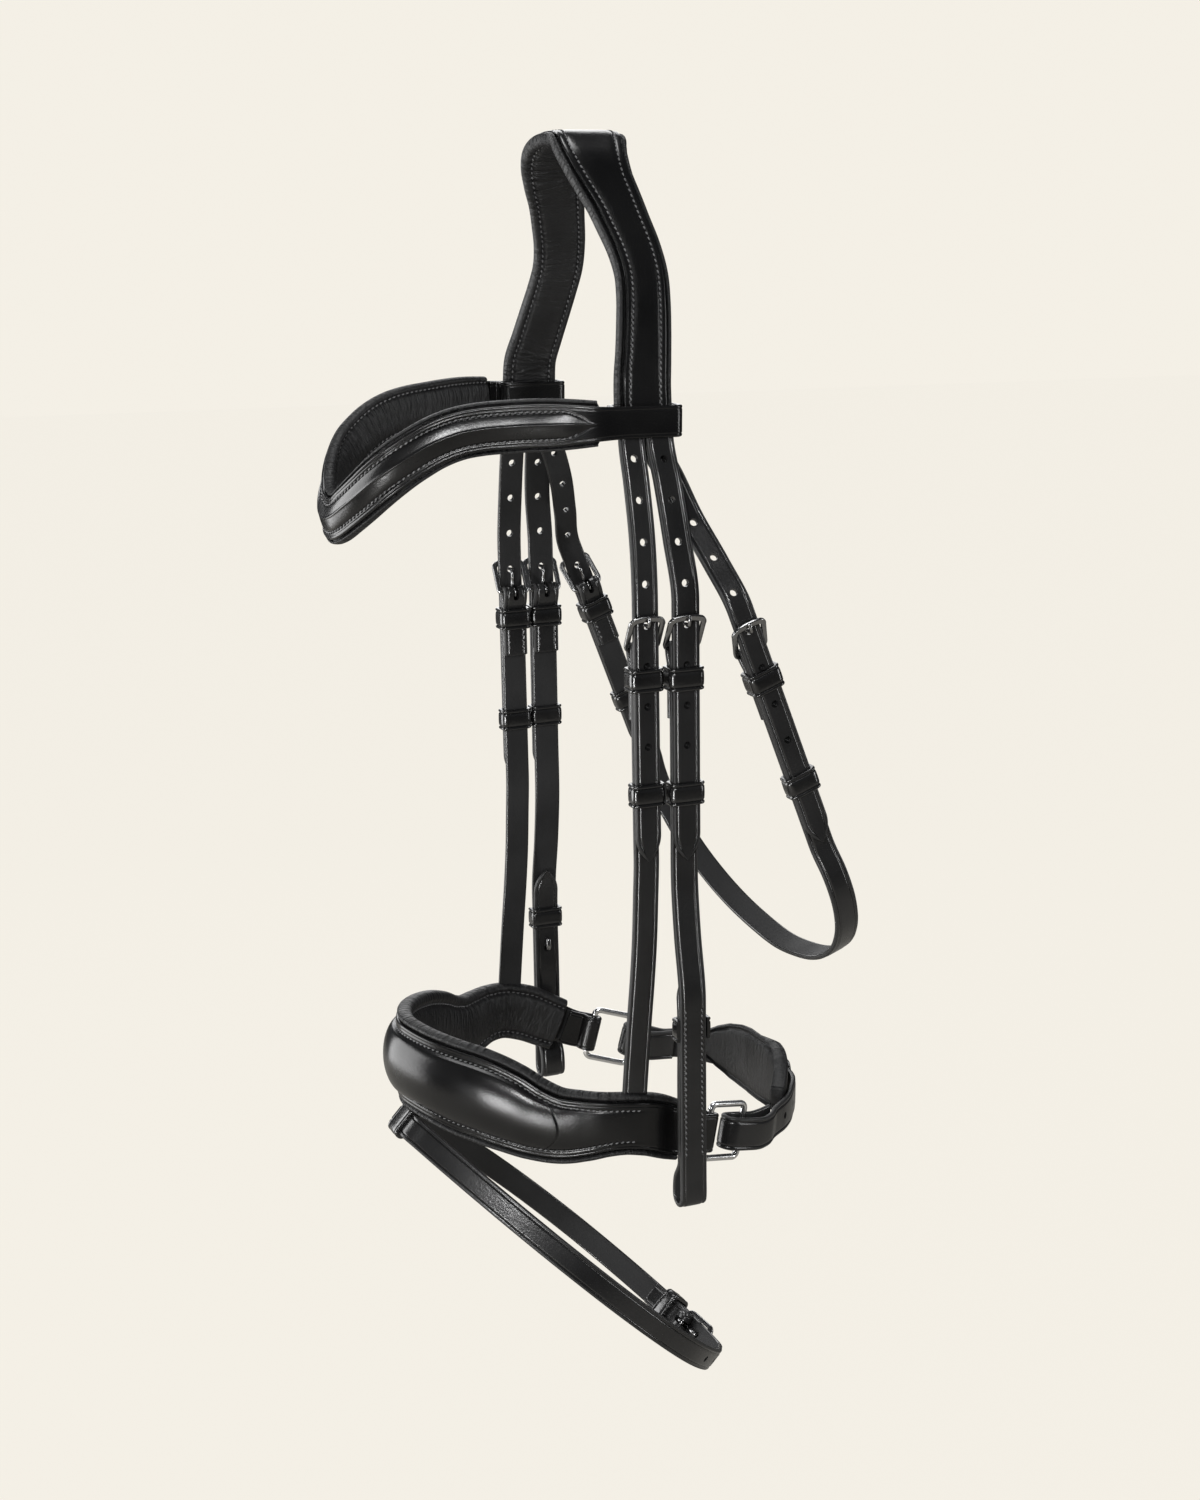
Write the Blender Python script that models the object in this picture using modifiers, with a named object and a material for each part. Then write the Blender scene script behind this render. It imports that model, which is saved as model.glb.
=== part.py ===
"""Dressage bridle: padded crown, dipped browband, padded crank noseband and flash strap.

The bridle hangs as if on a horse that looks along -X. Its left side is -Y and +Z is up.
The origin is on the poll, at the middle of the crown's underside.
"""
import math

import bmesh
import bpy
import numpy as np
from mathutils import Matrix, Vector

MM = 0.001

# Leather, clearances and straps
LEATHER = 2.6 * MM
GAP = 0.3 * MM
CHEEK_WIDTH = 14.0 * MM
NOSE_STRAP_WIDTH = 13.0 * MM
THROAT_WIDTH = 13.0 * MM
HOLE_RADIUS = 1.8 * MM
HOLE_PITCH = 19.5 * MM
CUT_OVERRUN = 1.0 * MM
LAYER = LEATHER + GAP
WELD = 0.01 * MM
LINING_GAP = 0.55 * MM

# Buckles, tongues and the folded strap end that holds them
BAR_RADIUS = 1.0 * MM
BUCKLE_LENGTH = 14.5 * MM
BUCKLE_SIDE_PLAY = 0.6 * MM
BUCKLE_CORNER = 2.0 * MM
TONGUE_RADIUS = 0.9 * MM
SLOT_PLAY = 0.6 * MM
FOLD_BACK = 34.0 * MM
FOLD_TAPER = 8.0 * MM

# Keepers and billet lengths, measured down the strap from the buckle's hinge bar
KEEPER_THICKNESS = 1.6 * MM
KEEPER_LENGTH = 11.0 * MM
FIXED_KEEPER_AT = 14.0 * MM
RUNNER_AT = 70.0 * MM
BILLET_TIP = 103.0 * MM
BILLET_TAPER = 12.0 * MM
BILLET_STRAIGHT = 24.0 * MM

# Crown
CROWN_DROP = 124.0 * MM
CROWN_HALF_SPAN = 76.5 * MM
CROWN_WIDTH = 38.0 * MM
CROWN_SWAY = 7.0 * MM
CROWN_PADDING = 6.0 * MM
CROWN_ROLL = 3.2 * MM

# Browband
BROWBAND_REACH = 132.0 * MM
BROWBAND_DIP = 48.5 * MM
BROWBAND_HEIGHT = 20.0 * MM
BROWBAND_LOOP_HEIGHT = 15.0 * MM
BROWBAND_PADDING = 5.0 * MM
BROWBAND_ROLL = 2.4 * MM
BROWBAND_RIDGE = 2.2 * MM
LOOP_CORNER = 2.0 * MM
LOOP_SEAM = 3.0 * MM

# Cheeks: how far the hinge bars hang under the origin and stand out. Rises are above the bit loop
BUCKLE_DROP = 230.0 * MM
NOSE_STRAP_SEAT = 1.0 * MM
NOSE_BUCKLE_FORWARD = 7.6 * MM
NOSE_STRAP_SEAM = 21.0 * MM
NOSE_STRAP_LEAN = 1.2
NOSE_STRAP_DRIFT = 10.0 * MM
CHEEK_BUCKLE_OUT = 95.0 * MM
CHEEK_LEAN = 0.9
CHEEK_STEP_OUT = 5.5 * MM
BIT_LOOP_DROP = 511.0 * MM
CHEEK_LENGTH = BIT_LOOP_DROP - BUCKLE_DROP
BIT_LOOP_HEIGHT = 23.0 * MM
BIT_LOOP_RADIUS = 3.2 * MM
STUD_RISE = 75.0 * MM
STUD_KEEPER_RISE = 93.0 * MM
STUD_TIP_RISE = 121.0 * MM
STUD_AT = CHEEK_LENGTH - STUD_RISE
STUD_KEEPER_AT = CHEEK_LENGTH - STUD_KEEPER_RISE
STUD_BILLET_TIP = CHEEK_LENGTH - STUD_TIP_RISE
STUD_TIP_SLOPE = 0.16
STUD_RADIUS = 1.4 * MM
STUD_HOOK = 5.0 * MM
FRAME_SPACING = 0.4 * MM

# Throatlash
THROAT_BUCKLE_FALL = 2.0 * MM
THROAT_BUCKLE_OUT = 108.0 * MM
THROAT_BUCKLE_BACK = 42.0 * MM
THROAT_LEAN = 21.5
THROAT_HANG = 196.0 * MM

# Noseband
NOSEBAND_REACH = 101.0 * MM
NOSEBAND_REAR = 34.0 * MM
NOSEBAND_HALF_WIDTH = 91.0 * MM
NOSEBAND_DROP = 453.0 * MM
NOSEBAND_FALL = 32.0 * MM
NOSEBAND_HEIGHT = 42.0 * MM
NOSEBAND_DOME = 6.5 * MM
NOSEBAND_PADDING = 7.0 * MM
NOSEBAND_ROLL = 4.0 * MM

# Rings and chin strap
RING_RADIUS = 1.6 * MM
RING_LENGTH = 24.0 * MM
RING_INNER_HEIGHT = 25.0 * MM
RING_CORNER = 3.0 * MM
RING_TURN_IN = 19.0
RING_PITCH = 13.0
RING_SEAM_FROM = 9.0 * MM
RING_SEAM_TO = 15.0 * MM
CHIN_WIDTH = 17.0 * MM
CHIN_REAR = 109.0 * MM
CHIN_DROP = 492.0 * MM
CRANK_BUCKLE_SIDE = 8.0 * MM
CRANK_TIP = 48.0 * MM
CRANK_KEEPER_AT = 17.0 * MM
CRANK_LOOP_LENGTH = 24.0 * MM
CRANK_LOOP_FORWARD = 8.5 * MM
LOOSE_LOOP_HALF = 5.2 * MM
RING_LOOP_LENGTH = 18.0 * MM
CURVED_KEEPER_LENGTH = 9.0 * MM
CURVED_PLAY = 0.5 * MM
BILLET_RISE = 26.0 * MM
CHIN_PAD_HEIGHT = 38.0 * MM
CHIN_PAD_RISE = 6.0 * MM
CHIN_PAD_THICKNESS = 8.0 * MM
CHIN_PAD_HALF_SPAN = 50.0 * MM

# Flash strap
FLASH_WIDTH = 13.0 * MM
FLASH_LEAN = 42.5
FLASH_LENGTH = 222.0 * MM
FLASH_HALF_WIDTH = 88.0 * MM
FLASH_BUCKLE_SIDE = 8.0 * MM
FLASH_KEEPER_AT = 20.0 * MM
FLASH_TIP = 34.0 * MM
FLASH_LOOP_LENGTH = 13.0 * MM

NOSE_BUCKLE_OUT = NOSEBAND_HALF_WIDTH - NOSE_STRAP_SEAT - LEATHER / 2 + LAYER
NOSE_STRAP_LENGTH = NOSEBAND_DROP + NOSE_STRAP_SEAM - BUCKLE_DROP

LEFT = -1
RIGHT = 1
SIDE_NAMES = {LEFT: "left", RIGHT: "right"}

# Crown, from the poll to its end: out, down, sway to the rear and width
crown_shares = (
    (0.000, 0.000, -0.30, 1.00),
    (0.105, 0.004, -0.45, 1.00),
    (0.200, 0.020, -0.75, 0.98),
    (0.290, 0.053, -0.95, 0.96),
    (0.370, 0.103, -0.90, 0.90),
    (0.435, 0.165, -0.65, 0.82),
    (0.500, 0.240, -0.20, 0.76),
    (0.565, 0.320, 0.20, 0.73),
    (0.640, 0.410, 0.62, 0.71),
    (0.720, 0.510, 0.82, 0.70),
    (0.790, 0.600, 0.66, 0.70),
    (0.860, 0.700, 0.36, 0.71),
    (0.925, 0.800, 0.03, 0.72),
    (0.982, 0.900, -0.30, 0.74),
    (1.000, 1.000, -0.34, 0.75),
)

# Browband, from the end loop to the middle of the brow: forward, out, down and height
browband_shares = (
    (0.114, 1.000, 0.000, 0.75),
    (0.190, 0.997, 0.003, 0.80),
    (0.265, 0.942, 0.010, 0.90),
    (0.341, 0.869, 0.020, 0.98),
    (0.417, 0.797, 0.030, 1.00),
    (0.492, 0.737, 0.045, 1.00),
    (0.568, 0.688, 0.065, 1.00),
    (0.644, 0.646, 0.105, 1.00),
    (0.720, 0.605, 0.185, 1.00),
    (0.795, 0.554, 0.310, 1.00),
    (0.856, 0.497, 0.440, 1.00),
    (0.909, 0.416, 0.590, 1.00),
    (0.947, 0.327, 0.730, 1.00),
    (0.977, 0.220, 0.860, 1.00),
    (0.996, 0.105, 0.965, 1.00),
    (1.000, 0.000, 1.000, 1.00),
)

# Noseband, from the ring to the front of the nose: forward, out, fall, height and dome
noseband_shares = (
    (-0.337, 0.879, 0.935, 0.45, 0.00),
    (-0.240, 0.915, 0.860, 0.48, 0.00),
    (-0.110, 0.955, 0.700, 0.54, 0.00),
    (0.020, 0.988, 0.520, 0.57, 0.00),
    (0.150, 1.000, 0.430, 0.57, 0.05),
    (0.260, 0.970, 0.430, 0.60, 0.12),
    (0.360, 0.905, 0.470, 0.68, 0.25),
    (0.460, 0.820, 0.500, 0.76, 0.45),
    (0.560, 0.720, 0.440, 0.86, 0.70),
    (0.660, 0.620, 0.310, 0.96, 0.90),
    (0.755, 0.520, 0.200, 1.00, 1.00),
    (0.850, 0.405, 0.120, 1.00, 1.00),
    (0.920, 0.290, 0.060, 0.98, 1.00),
    (0.970, 0.165, 0.020, 0.97, 1.00),
    (1.000, 0.000, 0.000, 0.97, 1.00),
)

# Section of a padded lining: its rolled edge beyond the leather, then its inner face
roll_shares = ((0.00, 0.00), (0.12, -0.24), (0.62, -0.32), (1.00, 0.06))
padding_shares = ((1.00, 0.50), (0.91, 0.80), (0.79, 0.72), (0.71, 0.54), (0.60, 0.82), (0.30, 1.00))

# Section of the browband's leather over its core, across its half width and outward
ridge_shares = ((0.92, 0.00), (0.62, 0.00), (0.44, 0.75), (0.18, 1.00))

# Section of the noseband's domed leather, across its half width and outward
dome_shares = ((0.88, 0.00), (0.66, 0.45), (0.34, 0.85), (0.00, 1.00))

# Throatlash below its buckles: down its hang, and out from the middle
throat_shares = (
    (0.620, 1.035),
    (0.690, 1.030),
    (0.765, 0.975),
    (0.840, 0.860),
    (0.905, 0.690),
    (0.955, 0.480),
    (0.985, 0.250),
    (1.000, 0.000),
)

# Chin strap's inner side, from a ring to the middle: back toward the rear, and out
chin_shares = (
    (0.480, 0.870),
    (0.690, 0.720),
    (0.860, 0.530),
    (0.960, 0.350),
    (0.997, 0.200),
    (1.000, 0.100),
    (1.000, 0.000),
)

# Section of the chin pad, across its half height and into its thickness, one side
pad_shares = (
    (0.00, 0.00), (0.86, 0.00), (1.00, 0.22), (1.00, 0.62), (0.90, 0.86), (0.80, 0.72), (0.62, 0.90)
)

# Height of the chin pad from one end to its middle
pad_taper_shares = (0.30, 0.62, 0.84, 0.95, 1.00, 1.00)

# Flash strap in its own plane: along it, and out from the middle
flash_shares = (
    (1.000, 0.000),
    (1.000, 0.160),
    (0.996, 0.310),
    (0.962, 0.480),
    (0.880, 0.730),
    (0.760, 0.930),
    (0.630, 1.000),
    (0.500, 0.975),
    (0.340, 0.830),
    (0.200, 0.610),
    (0.090, 0.370),
    (0.030, 0.205),
    (0.000, 0.110),
    (0.000, 0.075),
    (0.000, 0.000),
)


# Scene, materials and objects
def clear_scene():
    for old in list(bpy.data.objects):
        bpy.data.objects.remove(old, do_unlink=True)


clear_scene()
parts = bpy.data.collections.new("dressage_bridle")
cutters = bpy.data.collections.new("dressage_bridle_cutters")
bpy.context.scene.collection.children.link(parts)
bpy.context.scene.collection.children.link(cutters)


def make_material(name, colour, roughness, metallic):
    material = bpy.data.materials.new(name)
    material.use_nodes = True
    shader = material.node_tree.nodes["Principled BSDF"]
    shader.inputs["Base Color"].default_value = (*colour, 1)
    shader.inputs["Roughness"].default_value = roughness
    shader.inputs["Metallic"].default_value = metallic
    return material


leather_black = make_material("black_leather", (0.012, 0.012, 0.013), 0.38, 0)
lining_black = make_material("soft_lining", (0.016, 0.016, 0.017), 0.62, 0)
steel = make_material("polished_steel", (0.72, 0.72, 0.70), 0.16, 1)


def add_object(name, mesh, material, matrix=None):
    part = bpy.data.objects.new(name, mesh)
    parts.objects.link(part)
    part.data.materials.append(material)
    if matrix is not None:
        part.matrix_world = matrix
    return part


def add_cutter(name, mesh, matrix=None):
    cutter = bpy.data.objects.new(name, mesh)
    cutters.objects.link(cutter)
    cutter.hide_render = True
    cutter.display_type = "WIRE"
    if matrix is not None:
        cutter.matrix_world = matrix
    return cutter


def cut(part, cutter):
    modifier = part.modifiers.new(cutter.name, "BOOLEAN")
    modifier.operation = "DIFFERENCE"
    modifier.object = cutter


def to_mesh(bm, name):
    mesh = bpy.data.meshes.new(name)
    bmesh.ops.recalc_face_normals(bm, faces=bm.faces)
    bm.to_mesh(mesh)
    bm.free()
    mesh.shade_smooth()
    mesh.set_sharp_from_angle(angle=math.radians(35))
    return mesh


# Curves through points
def smooth_path(points, count):
    """A cubic curve through the points, at even steps of its own length."""
    points = np.array(points, float)
    chords = np.linalg.norm(np.diff(points[:, :3], axis=0), axis=1)
    knots = np.concatenate(([0], np.cumsum(chords)))
    slopes = np.gradient(points, knots, axis=0)
    fine = np.linspace(0, knots[-1], count * 8)
    span = np.clip(np.searchsorted(knots, fine, side="right") - 1, 0, len(chords) - 1)
    step = chords[span][:, None]
    t = ((fine - knots[span]) / chords[span])[:, None]
    curve = (
        (2 * t**3 - 3 * t**2 + 1) * points[span]
        + (t**3 - 2 * t**2 + t) * step * slopes[span]
        + (3 * t**2 - 2 * t**3) * points[span + 1]
        + (t**3 - t**2) * step * slopes[span + 1]
    )
    return even_steps(curve, count)


def even_steps(curve, count):
    lengths = np.concatenate(([0], np.cumsum(np.linalg.norm(np.diff(curve[:, :3], axis=0), axis=1))))
    wanted = np.linspace(0, lengths[-1], count)
    return np.stack([np.interp(wanted, lengths, curve[:, k]) for k in range(curve.shape[1])], axis=1)


def arc(centre, radius, start, end, steps):
    """Points on an arc in a plane, angles in degrees."""
    angles = np.radians(np.linspace(start, end, steps + 1))
    return [(centre[0] + radius * math.cos(a), centre[1] + radius * math.sin(a)) for a in angles]


def tangents(path):
    slope = np.gradient(path, axis=0)
    return slope / np.linalg.norm(slope, axis=1)[:, None]


def across_path(path, outward):
    """The direction across a strap whose outer face looks along outward."""
    side = np.cross(outward, tangents(path))
    return side / np.linalg.norm(side, axis=1)[:, None]


# Straps, bands and tubes
def strap(name, path, across, widths, material, matrix=None, slots=(), thickness=LEATHER):
    """A flat strap: a grid laid along the path and given its thickness by Solidify.

    A tongue's slot is given by its first row and its last row.
    """
    bm = bmesh.new()
    rows = len(path)
    bands = 3 if slots else 1
    bmesh.ops.create_grid(bm, x_segments=rows - 1, y_segments=bands, size=1)
    place = {}
    for vertex in bm.verts:
        row = round((vertex.co.x + 1) / 2 * (rows - 1))
        column = round((vertex.co.y + 1) / 2 * bands)
        place[vertex] = (row, column)
        half = widths[row] / 2
        reach = (-half, -SLOT_HALF, SLOT_HALF, half) if slots else (-half, half)
        vertex.co = Vector(path[row] + across[row] * reach[column])
    if slots:
        open_slots(bm, place, slots)
    part = add_object(name, to_mesh(bm, name), material, matrix)
    shell = part.modifiers.new("leather", "SOLIDIFY")
    shell.thickness = thickness
    shell.offset = 0
    shell.use_even_offset = True
    return part


def open_slots(bm, place, slots):
    """Remove the slots' faces, and the grid's inner edges everywhere else."""
    hole = []
    spare = []
    for face in bm.faces:
        row = min(place[v][0] for v in face.verts)
        column = min(place[v][1] for v in face.verts)
        if column == 1 and any(first <= row < last for first, last in slots):
            hole.append(face)
    for edge in bm.edges:
        one, two = (place[v] for v in edge.verts)
        row = min(one[0], two[0])
        inner = one[1] == two[1] and one[1] in (1, 2)
        if inner and not any(first <= row < last for first, last in slots):
            spare.append(edge)
    bmesh.ops.delete(bm, geom=hole, context="FACES")
    bmesh.ops.dissolve_edges(bm, edges=spare, use_verts=True)


def loft(name, rings, material, matrix=None):
    """A closed body through rings of equal count, with flat ends."""
    bm = bmesh.new()
    loops = [[bm.verts.new(Vector(point)) for point in ring] for ring in rings]
    for first, second in zip(loops[:-1], loops[1:]):
        for k in range(len(first)):
            following = (k + 1) % len(first)
            bm.faces.new((first[k], first[following], second[following], second[k]))
    bm.faces.new(loops[0])
    bm.faces.new(loops[-1][::-1])
    return add_object(name, to_mesh(bm, name), material, matrix)


def tube(name, points, radius, material, closed=False, matrix=None, sides=1):
    """A round wire through the points."""
    curve = bpy.data.curves.new(name, "CURVE")
    curve.dimensions = "3D"
    curve.bevel_depth = radius
    curve.bevel_resolution = sides
    curve.use_fill_caps = not closed
    spline = curve.splines.new("POLY")
    spline.points.add(len(points) - 1)
    for place, point in zip(spline.points, points):
        place.co = (*point, 1)
    spline.use_cyclic_u = closed
    wire = bpy.data.objects.new(name + "_wire", curve)
    bm = bmesh.new()
    bm.from_mesh(bpy.data.meshes.new_from_object(wire))
    bpy.data.objects.remove(wire, do_unlink=True)
    bmesh.ops.remove_doubles(bm, verts=bm.verts, dist=WELD)
    return add_object(name, to_mesh(bm, name), material, matrix)


def rounded_frame(half_x, half_y, corner, steps):
    """Corner points of a rounded rectangle about the origin."""
    points = []
    for turn, (sx, sy) in enumerate(((1, 1), (-1, 1), (-1, -1), (1, -1))):
        centre = (sx * (half_x - corner), sy * (half_y - corner))
        points += arc(centre, corner, 90 * turn, 90 * turn + 90, steps)
    return points


def keeper(name, at, half_width, low, high, matrix, length=None):
    """A leather band round the straps: an open sleeve given its thickness by Solidify."""
    half_height = (high - low) / 2 + GAP + KEEPER_THICKNESS / 2
    outline = rounded_frame(half_width + GAP + KEEPER_THICKNESS / 2, half_height, KEEPER_THICKNESS, 2)
    bm = bmesh.new()
    bmesh.ops.create_cone(bm, cap_ends=False, segments=len(outline), radius1=1, radius2=1, depth=1)
    half_length = (KEEPER_LENGTH if length is None else length) / 2
    for vertex in bm.verts:
        turn = math.atan2(vertex.co.y, vertex.co.x) / math.tau * len(outline)
        across, up = outline[round(turn) % len(outline)]
        end = 1 if vertex.co.z > 0 else -1
        vertex.co = Vector((at + end * half_length, across, up + (high + low) / 2))
    band = add_object(name, to_mesh(bm, name), leather_black, matrix)
    shell = band.modifiers.new("leather", "SOLIDIFY")
    shell.thickness = KEEPER_THICKNESS
    shell.offset = 0
    shell.use_even_offset = True
    return band


def place_frame(origin, down, out):
    """Axes of a strap: X down the strap, Z out from the horse."""
    x = Vector(down).normalized()
    z = Vector(out)
    z = (z - x * z.dot(x)).normalized()
    y = z.cross(x)
    return Matrix.Translation(Vector(origin)) @ Matrix((x, y, z)).transposed().to_4x4()


def round_cutters(name, places, radius, depth, matrix=None):
    """One mesh of round punches, each given by its point and its axis."""
    bm = bmesh.new()
    for point, axis in places:
        turn = Vector(axis).to_track_quat("Z", "Y").to_matrix().to_4x4()
        at = Matrix.Translation(Vector(point)) @ turn
        bmesh.ops.create_cone(
            bm, cap_ends=True, segments=8, radius1=radius, radius2=radius, depth=depth, matrix=at
        )
    return add_cutter(name, to_mesh(bm, name), matrix)


# Strap ends with a buckle: X runs down the strap from the hinge bar, Z out through the billet
HINGE_HEIGHT = -(LEATHER / 2 + GAP + LEATHER + GAP + BAR_RADIUS)
FREE_HEIGHT = LEATHER / 2 + GAP + BAR_RADIUS
EYE_RADIUS = BAR_RADIUS + GAP + TONGUE_RADIUS
FOLD_RADIUS = BAR_RADIUS + GAP + LEATHER / 2
TONGUE_HOLE_AT = -(BUCKLE_LENGTH - BAR_RADIUS - GAP - TONGUE_RADIUS)
SLOT_REACH = EYE_RADIUS + TONGUE_RADIUS + SLOT_PLAY
SLOT_HALF = TONGUE_RADIUS + SLOT_PLAY


def fold_path(steps=1):
    """The strap's end from under its fold, round the hinge bar, to its outer layer."""
    inner = -2 * LAYER
    bulge = HINGE_HEIGHT - FOLD_RADIUS
    points = [(s, inner) for s in lap_steps(steps)[::-1]]
    points += [(SLOT_REACH, inner * 0.3 + bulge * 0.7)]
    points += arc((0, HINGE_HEIGHT), FOLD_RADIUS, 270, 90, 6)
    points += [(SLOT_REACH, -LAYER)]
    return points


def lap_steps(steps):
    """Places down the strap, from under the buckle to the end of the fold."""
    return list(np.linspace(FOLD_TAPER, FOLD_BACK, steps + 1))


def fold_slot(steps=1):
    """First and last row of the tongue's slot in the fold."""
    return (steps + 1, steps + 9)


def buckle(kind, side, width, matrix):
    """The frame and its tongue."""
    name = f"{kind}_buckle_{side}" if side else f"{kind}_buckle"
    half = width / 2 + BUCKLE_SIDE_PLAY + BAR_RADIUS
    tilt = math.atan2(FREE_HEIGHT - HINGE_HEIGHT, BUCKLE_LENGTH)
    reach = math.hypot(FREE_HEIGHT - HINGE_HEIGHT, BUCKLE_LENGTH)
    outline = rounded_frame(reach / 2, half, BUCKLE_CORNER, 3)
    points = [
        ((u - reach / 2) * math.cos(tilt), v, HINGE_HEIGHT - (u - reach / 2) * math.sin(tilt))
        for u, v in outline
    ]
    tube(name, points, BAR_RADIUS, steel, closed=True, matrix=matrix)

    eye = arc((0, 0), EYE_RADIUS, -160, 90, 7)
    shaft = EYE_RADIUS
    over = FREE_HEIGHT - HINGE_HEIGHT + BAR_RADIUS + GAP + TONGUE_RADIUS
    middle = -HINGE_HEIGHT
    run = [
        (TONGUE_HOLE_AT * 0.45, shaft),
        (TONGUE_HOLE_AT * 0.82, shaft * 1.06),
        (TONGUE_HOLE_AT * 0.95, middle * 0.6),
        (TONGUE_HOLE_AT, middle),
        (TONGUE_HOLE_AT, over - TONGUE_RADIUS),
        (-BUCKLE_LENGTH, over),
        (-(BUCKLE_LENGTH + BAR_RADIUS * 1.8), over - TONGUE_RADIUS * 0.1),
    ]
    tongue_name = name.replace("buckle", "tongue")
    hinge = matrix @ Matrix.Translation(Vector((0, 0, HINGE_HEIGHT)))
    tube(tongue_name, [(s, 0, n) for s, n in eye + run], TONGUE_RADIUS, steel, matrix=hinge)


def tip_widths(path, width, taper):
    """Widths along a strap that ends in a rounded point."""
    steps = np.linalg.norm(np.diff(path, axis=0), axis=1)
    from_end = np.concatenate((np.cumsum(steps[::-1])[::-1], [0]))
    share = np.clip(from_end / taper, 0, 1)
    return width * (0.22 + 0.78 * np.sqrt(1 - (1 - share) ** 2))


def between_holes(first, last):
    """Row places down a billet that stay clear of its holes, counted from the hinge bar."""
    count = math.floor((TONGUE_HOLE_AT - first) / HOLE_PITCH * 2 - 0.5)
    steps = [TONGUE_HOLE_AT - HOLE_PITCH / 4 - k * HOLE_PITCH / 2 for k in range(count, -1, -1)]
    return [first] + [s for s in steps if first + HOLE_RADIUS < s < last] + [last]


def billet(kind, side, width, above, matrix):
    """A holed billet: down from the crown, through the buckle, to its pointed tip."""
    name = f"{kind}_billet_{SIDE_NAMES[side]}"
    fine = smooth_path(list(above) + [(-BILLET_STRAIGHT * k, 0, 0) for k in (1.0, 0.85, 0.0)], 60)
    length = np.concatenate(([0], np.cumsum(np.linalg.norm(np.diff(fine, axis=0), axis=1))))
    length -= length[-1]
    wanted = between_holes(length[0], 0.0)
    upper = [[np.interp(s, length, fine[:, k]) for k in range(3)] for s in wanted]
    tip_x = [BILLET_TIP - BILLET_TAPER * share for share in (1.0, 0.6, 0.25, 0.08, 0.0)]
    path = np.array([*upper, *[(x, 0, 0) for x in tip_x]])
    out = np.array(matrix.inverted().to_3x3() @ Vector((0, side, 0)))
    across = across_path(path, out)
    part = strap(name, path, across, tip_widths(path, width, BILLET_TAPER), leather_black, matrix)

    normal = np.cross(tangents(path), across)
    steps = np.concatenate((wanted, tip_x))
    places = []
    first_hole = steps[0] + HOLE_RADIUS + CUT_OVERRUN
    for hole in range(-4, 4):
        at = TONGUE_HOLE_AT + hole * HOLE_PITCH
        if at < first_hole:
            continue
        point = [np.interp(at, steps, path[:, k]) for k in range(3)]
        axis = [np.interp(at, steps, normal[:, k]) for k in range(3)]
        places.append((point, axis))
    cut(part, round_cutters(name + "_holes", places, HOLE_RADIUS, LEATHER + 2 * CUT_OVERRUN, matrix))


def keepers(kind, side, width, matrix):
    """The sewn keeper under the buckle and the runner that slides down to the tip."""
    name = SIDE_NAMES[side]
    low_fixed = -2 * LAYER - LEATHER / 2
    low = -LAYER - LEATHER / 2
    high = LEATHER / 2
    keeper(f"{kind}_fixed_keeper_{name}", FIXED_KEEPER_AT, width / 2, low_fixed, high, matrix)
    runner_at = matrix @ Matrix.Translation(Vector((RUNNER_AT, 0, 0)))
    keeper(f"{kind}_runner_{name}", 0, width / 2, low, high, runner_at)


# Crown
def crown_rows():
    """Points, directions across and widths along the crown, left end to right end."""
    half = np.array([
        (share[2] * CROWN_SWAY, share[0] * CROWN_HALF_SPAN, CROWN_PADDING - share[1] * CROWN_DROP,
         share[3] * CROWN_WIDTH)
        for share in crown_shares
    ])
    left = half[::-1] * (1, -1, 1, 1)
    rows = smooth_path(np.concatenate((left, half[1:])), 41)
    path = rows[:, :3]
    tangent = tangents(path)
    level = np.array((1.0, 0, 0)) - tangent * tangent[:, :1]
    across = level / np.linalg.norm(level, axis=1)[:, None]
    return path, across, rows[:, 3]


def padding_ring(centre, across, inward, width, thickness, roll):
    """A lining's section: two rolled edges, a sewn channel beside each, and a crown between."""
    half = width / 2
    flat = half - roll + 2 * GAP
    one_side = [(flat + (half - flat) * u, v) for u, v in roll_shares]
    one_side += [(half * u, v) for u, v in padding_shares]
    section = [(0, 0)] + one_side + [(-u, v) for u, v in one_side[::-1]]
    return [centre + across * u + inward * thickness * v for u, v in section]


def crown():
    path, across, widths = crown_rows()
    outward = np.cross(tangents(path), across)
    outward *= np.sign(outward[len(path) // 2, 2])
    shell_path = path + outward * LEATHER / 2
    strap("crown_shell", shell_path, across, widths - 2 * CROWN_ROLL, leather_black)
    seat = path - outward * LINING_GAP
    rings = [
        padding_ring(p, a, -n, w, CROWN_PADDING - LINING_GAP, CROWN_ROLL)
        for p, a, n, w in zip(seat, across, outward, widths)
    ]
    loft("crown_padding", rings, lining_black)
    return path[-1], widths[-1]


crown_end, crown_end_width = crown()
CROWN_END_X = float(crown_end[0])
CROWN_END_Z = float(crown_end[2])
BILLET_TOP_Z = CROWN_END_Z - 4 * GAP
OUTER_LAYER_Y = CROWN_HALF_SPAN + LEATHER / 2
INNER_LAYER_Y = OUTER_LAYER_Y - LAYER


# Places of the three straps on each side
def half_frame(width):
    return width / 2 + BUCKLE_SIDE_PLAY + 2 * BAR_RADIUS


NOSE_TOP_X = CROWN_END_X - (CHEEK_WIDTH + GAP) / 2
CHEEK_TOP_X = CROWN_END_X + (NOSE_STRAP_WIDTH + GAP) / 2
CHEEK_BUCKLE_BACK = (
    half_frame(NOSE_STRAP_WIDTH) + half_frame(CHEEK_WIDTH) + FRAME_SPACING - NOSE_BUCKLE_FORWARD
)


def side_frame(side, x, out, drop, lean):
    """The buckle's axes for a strap that leans to the rear by some degrees."""
    angle = math.radians(lean)
    return place_frame((x, side * out, -drop), (math.sin(angle), 0, -math.cos(angle)), (0, side, 0))


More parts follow.
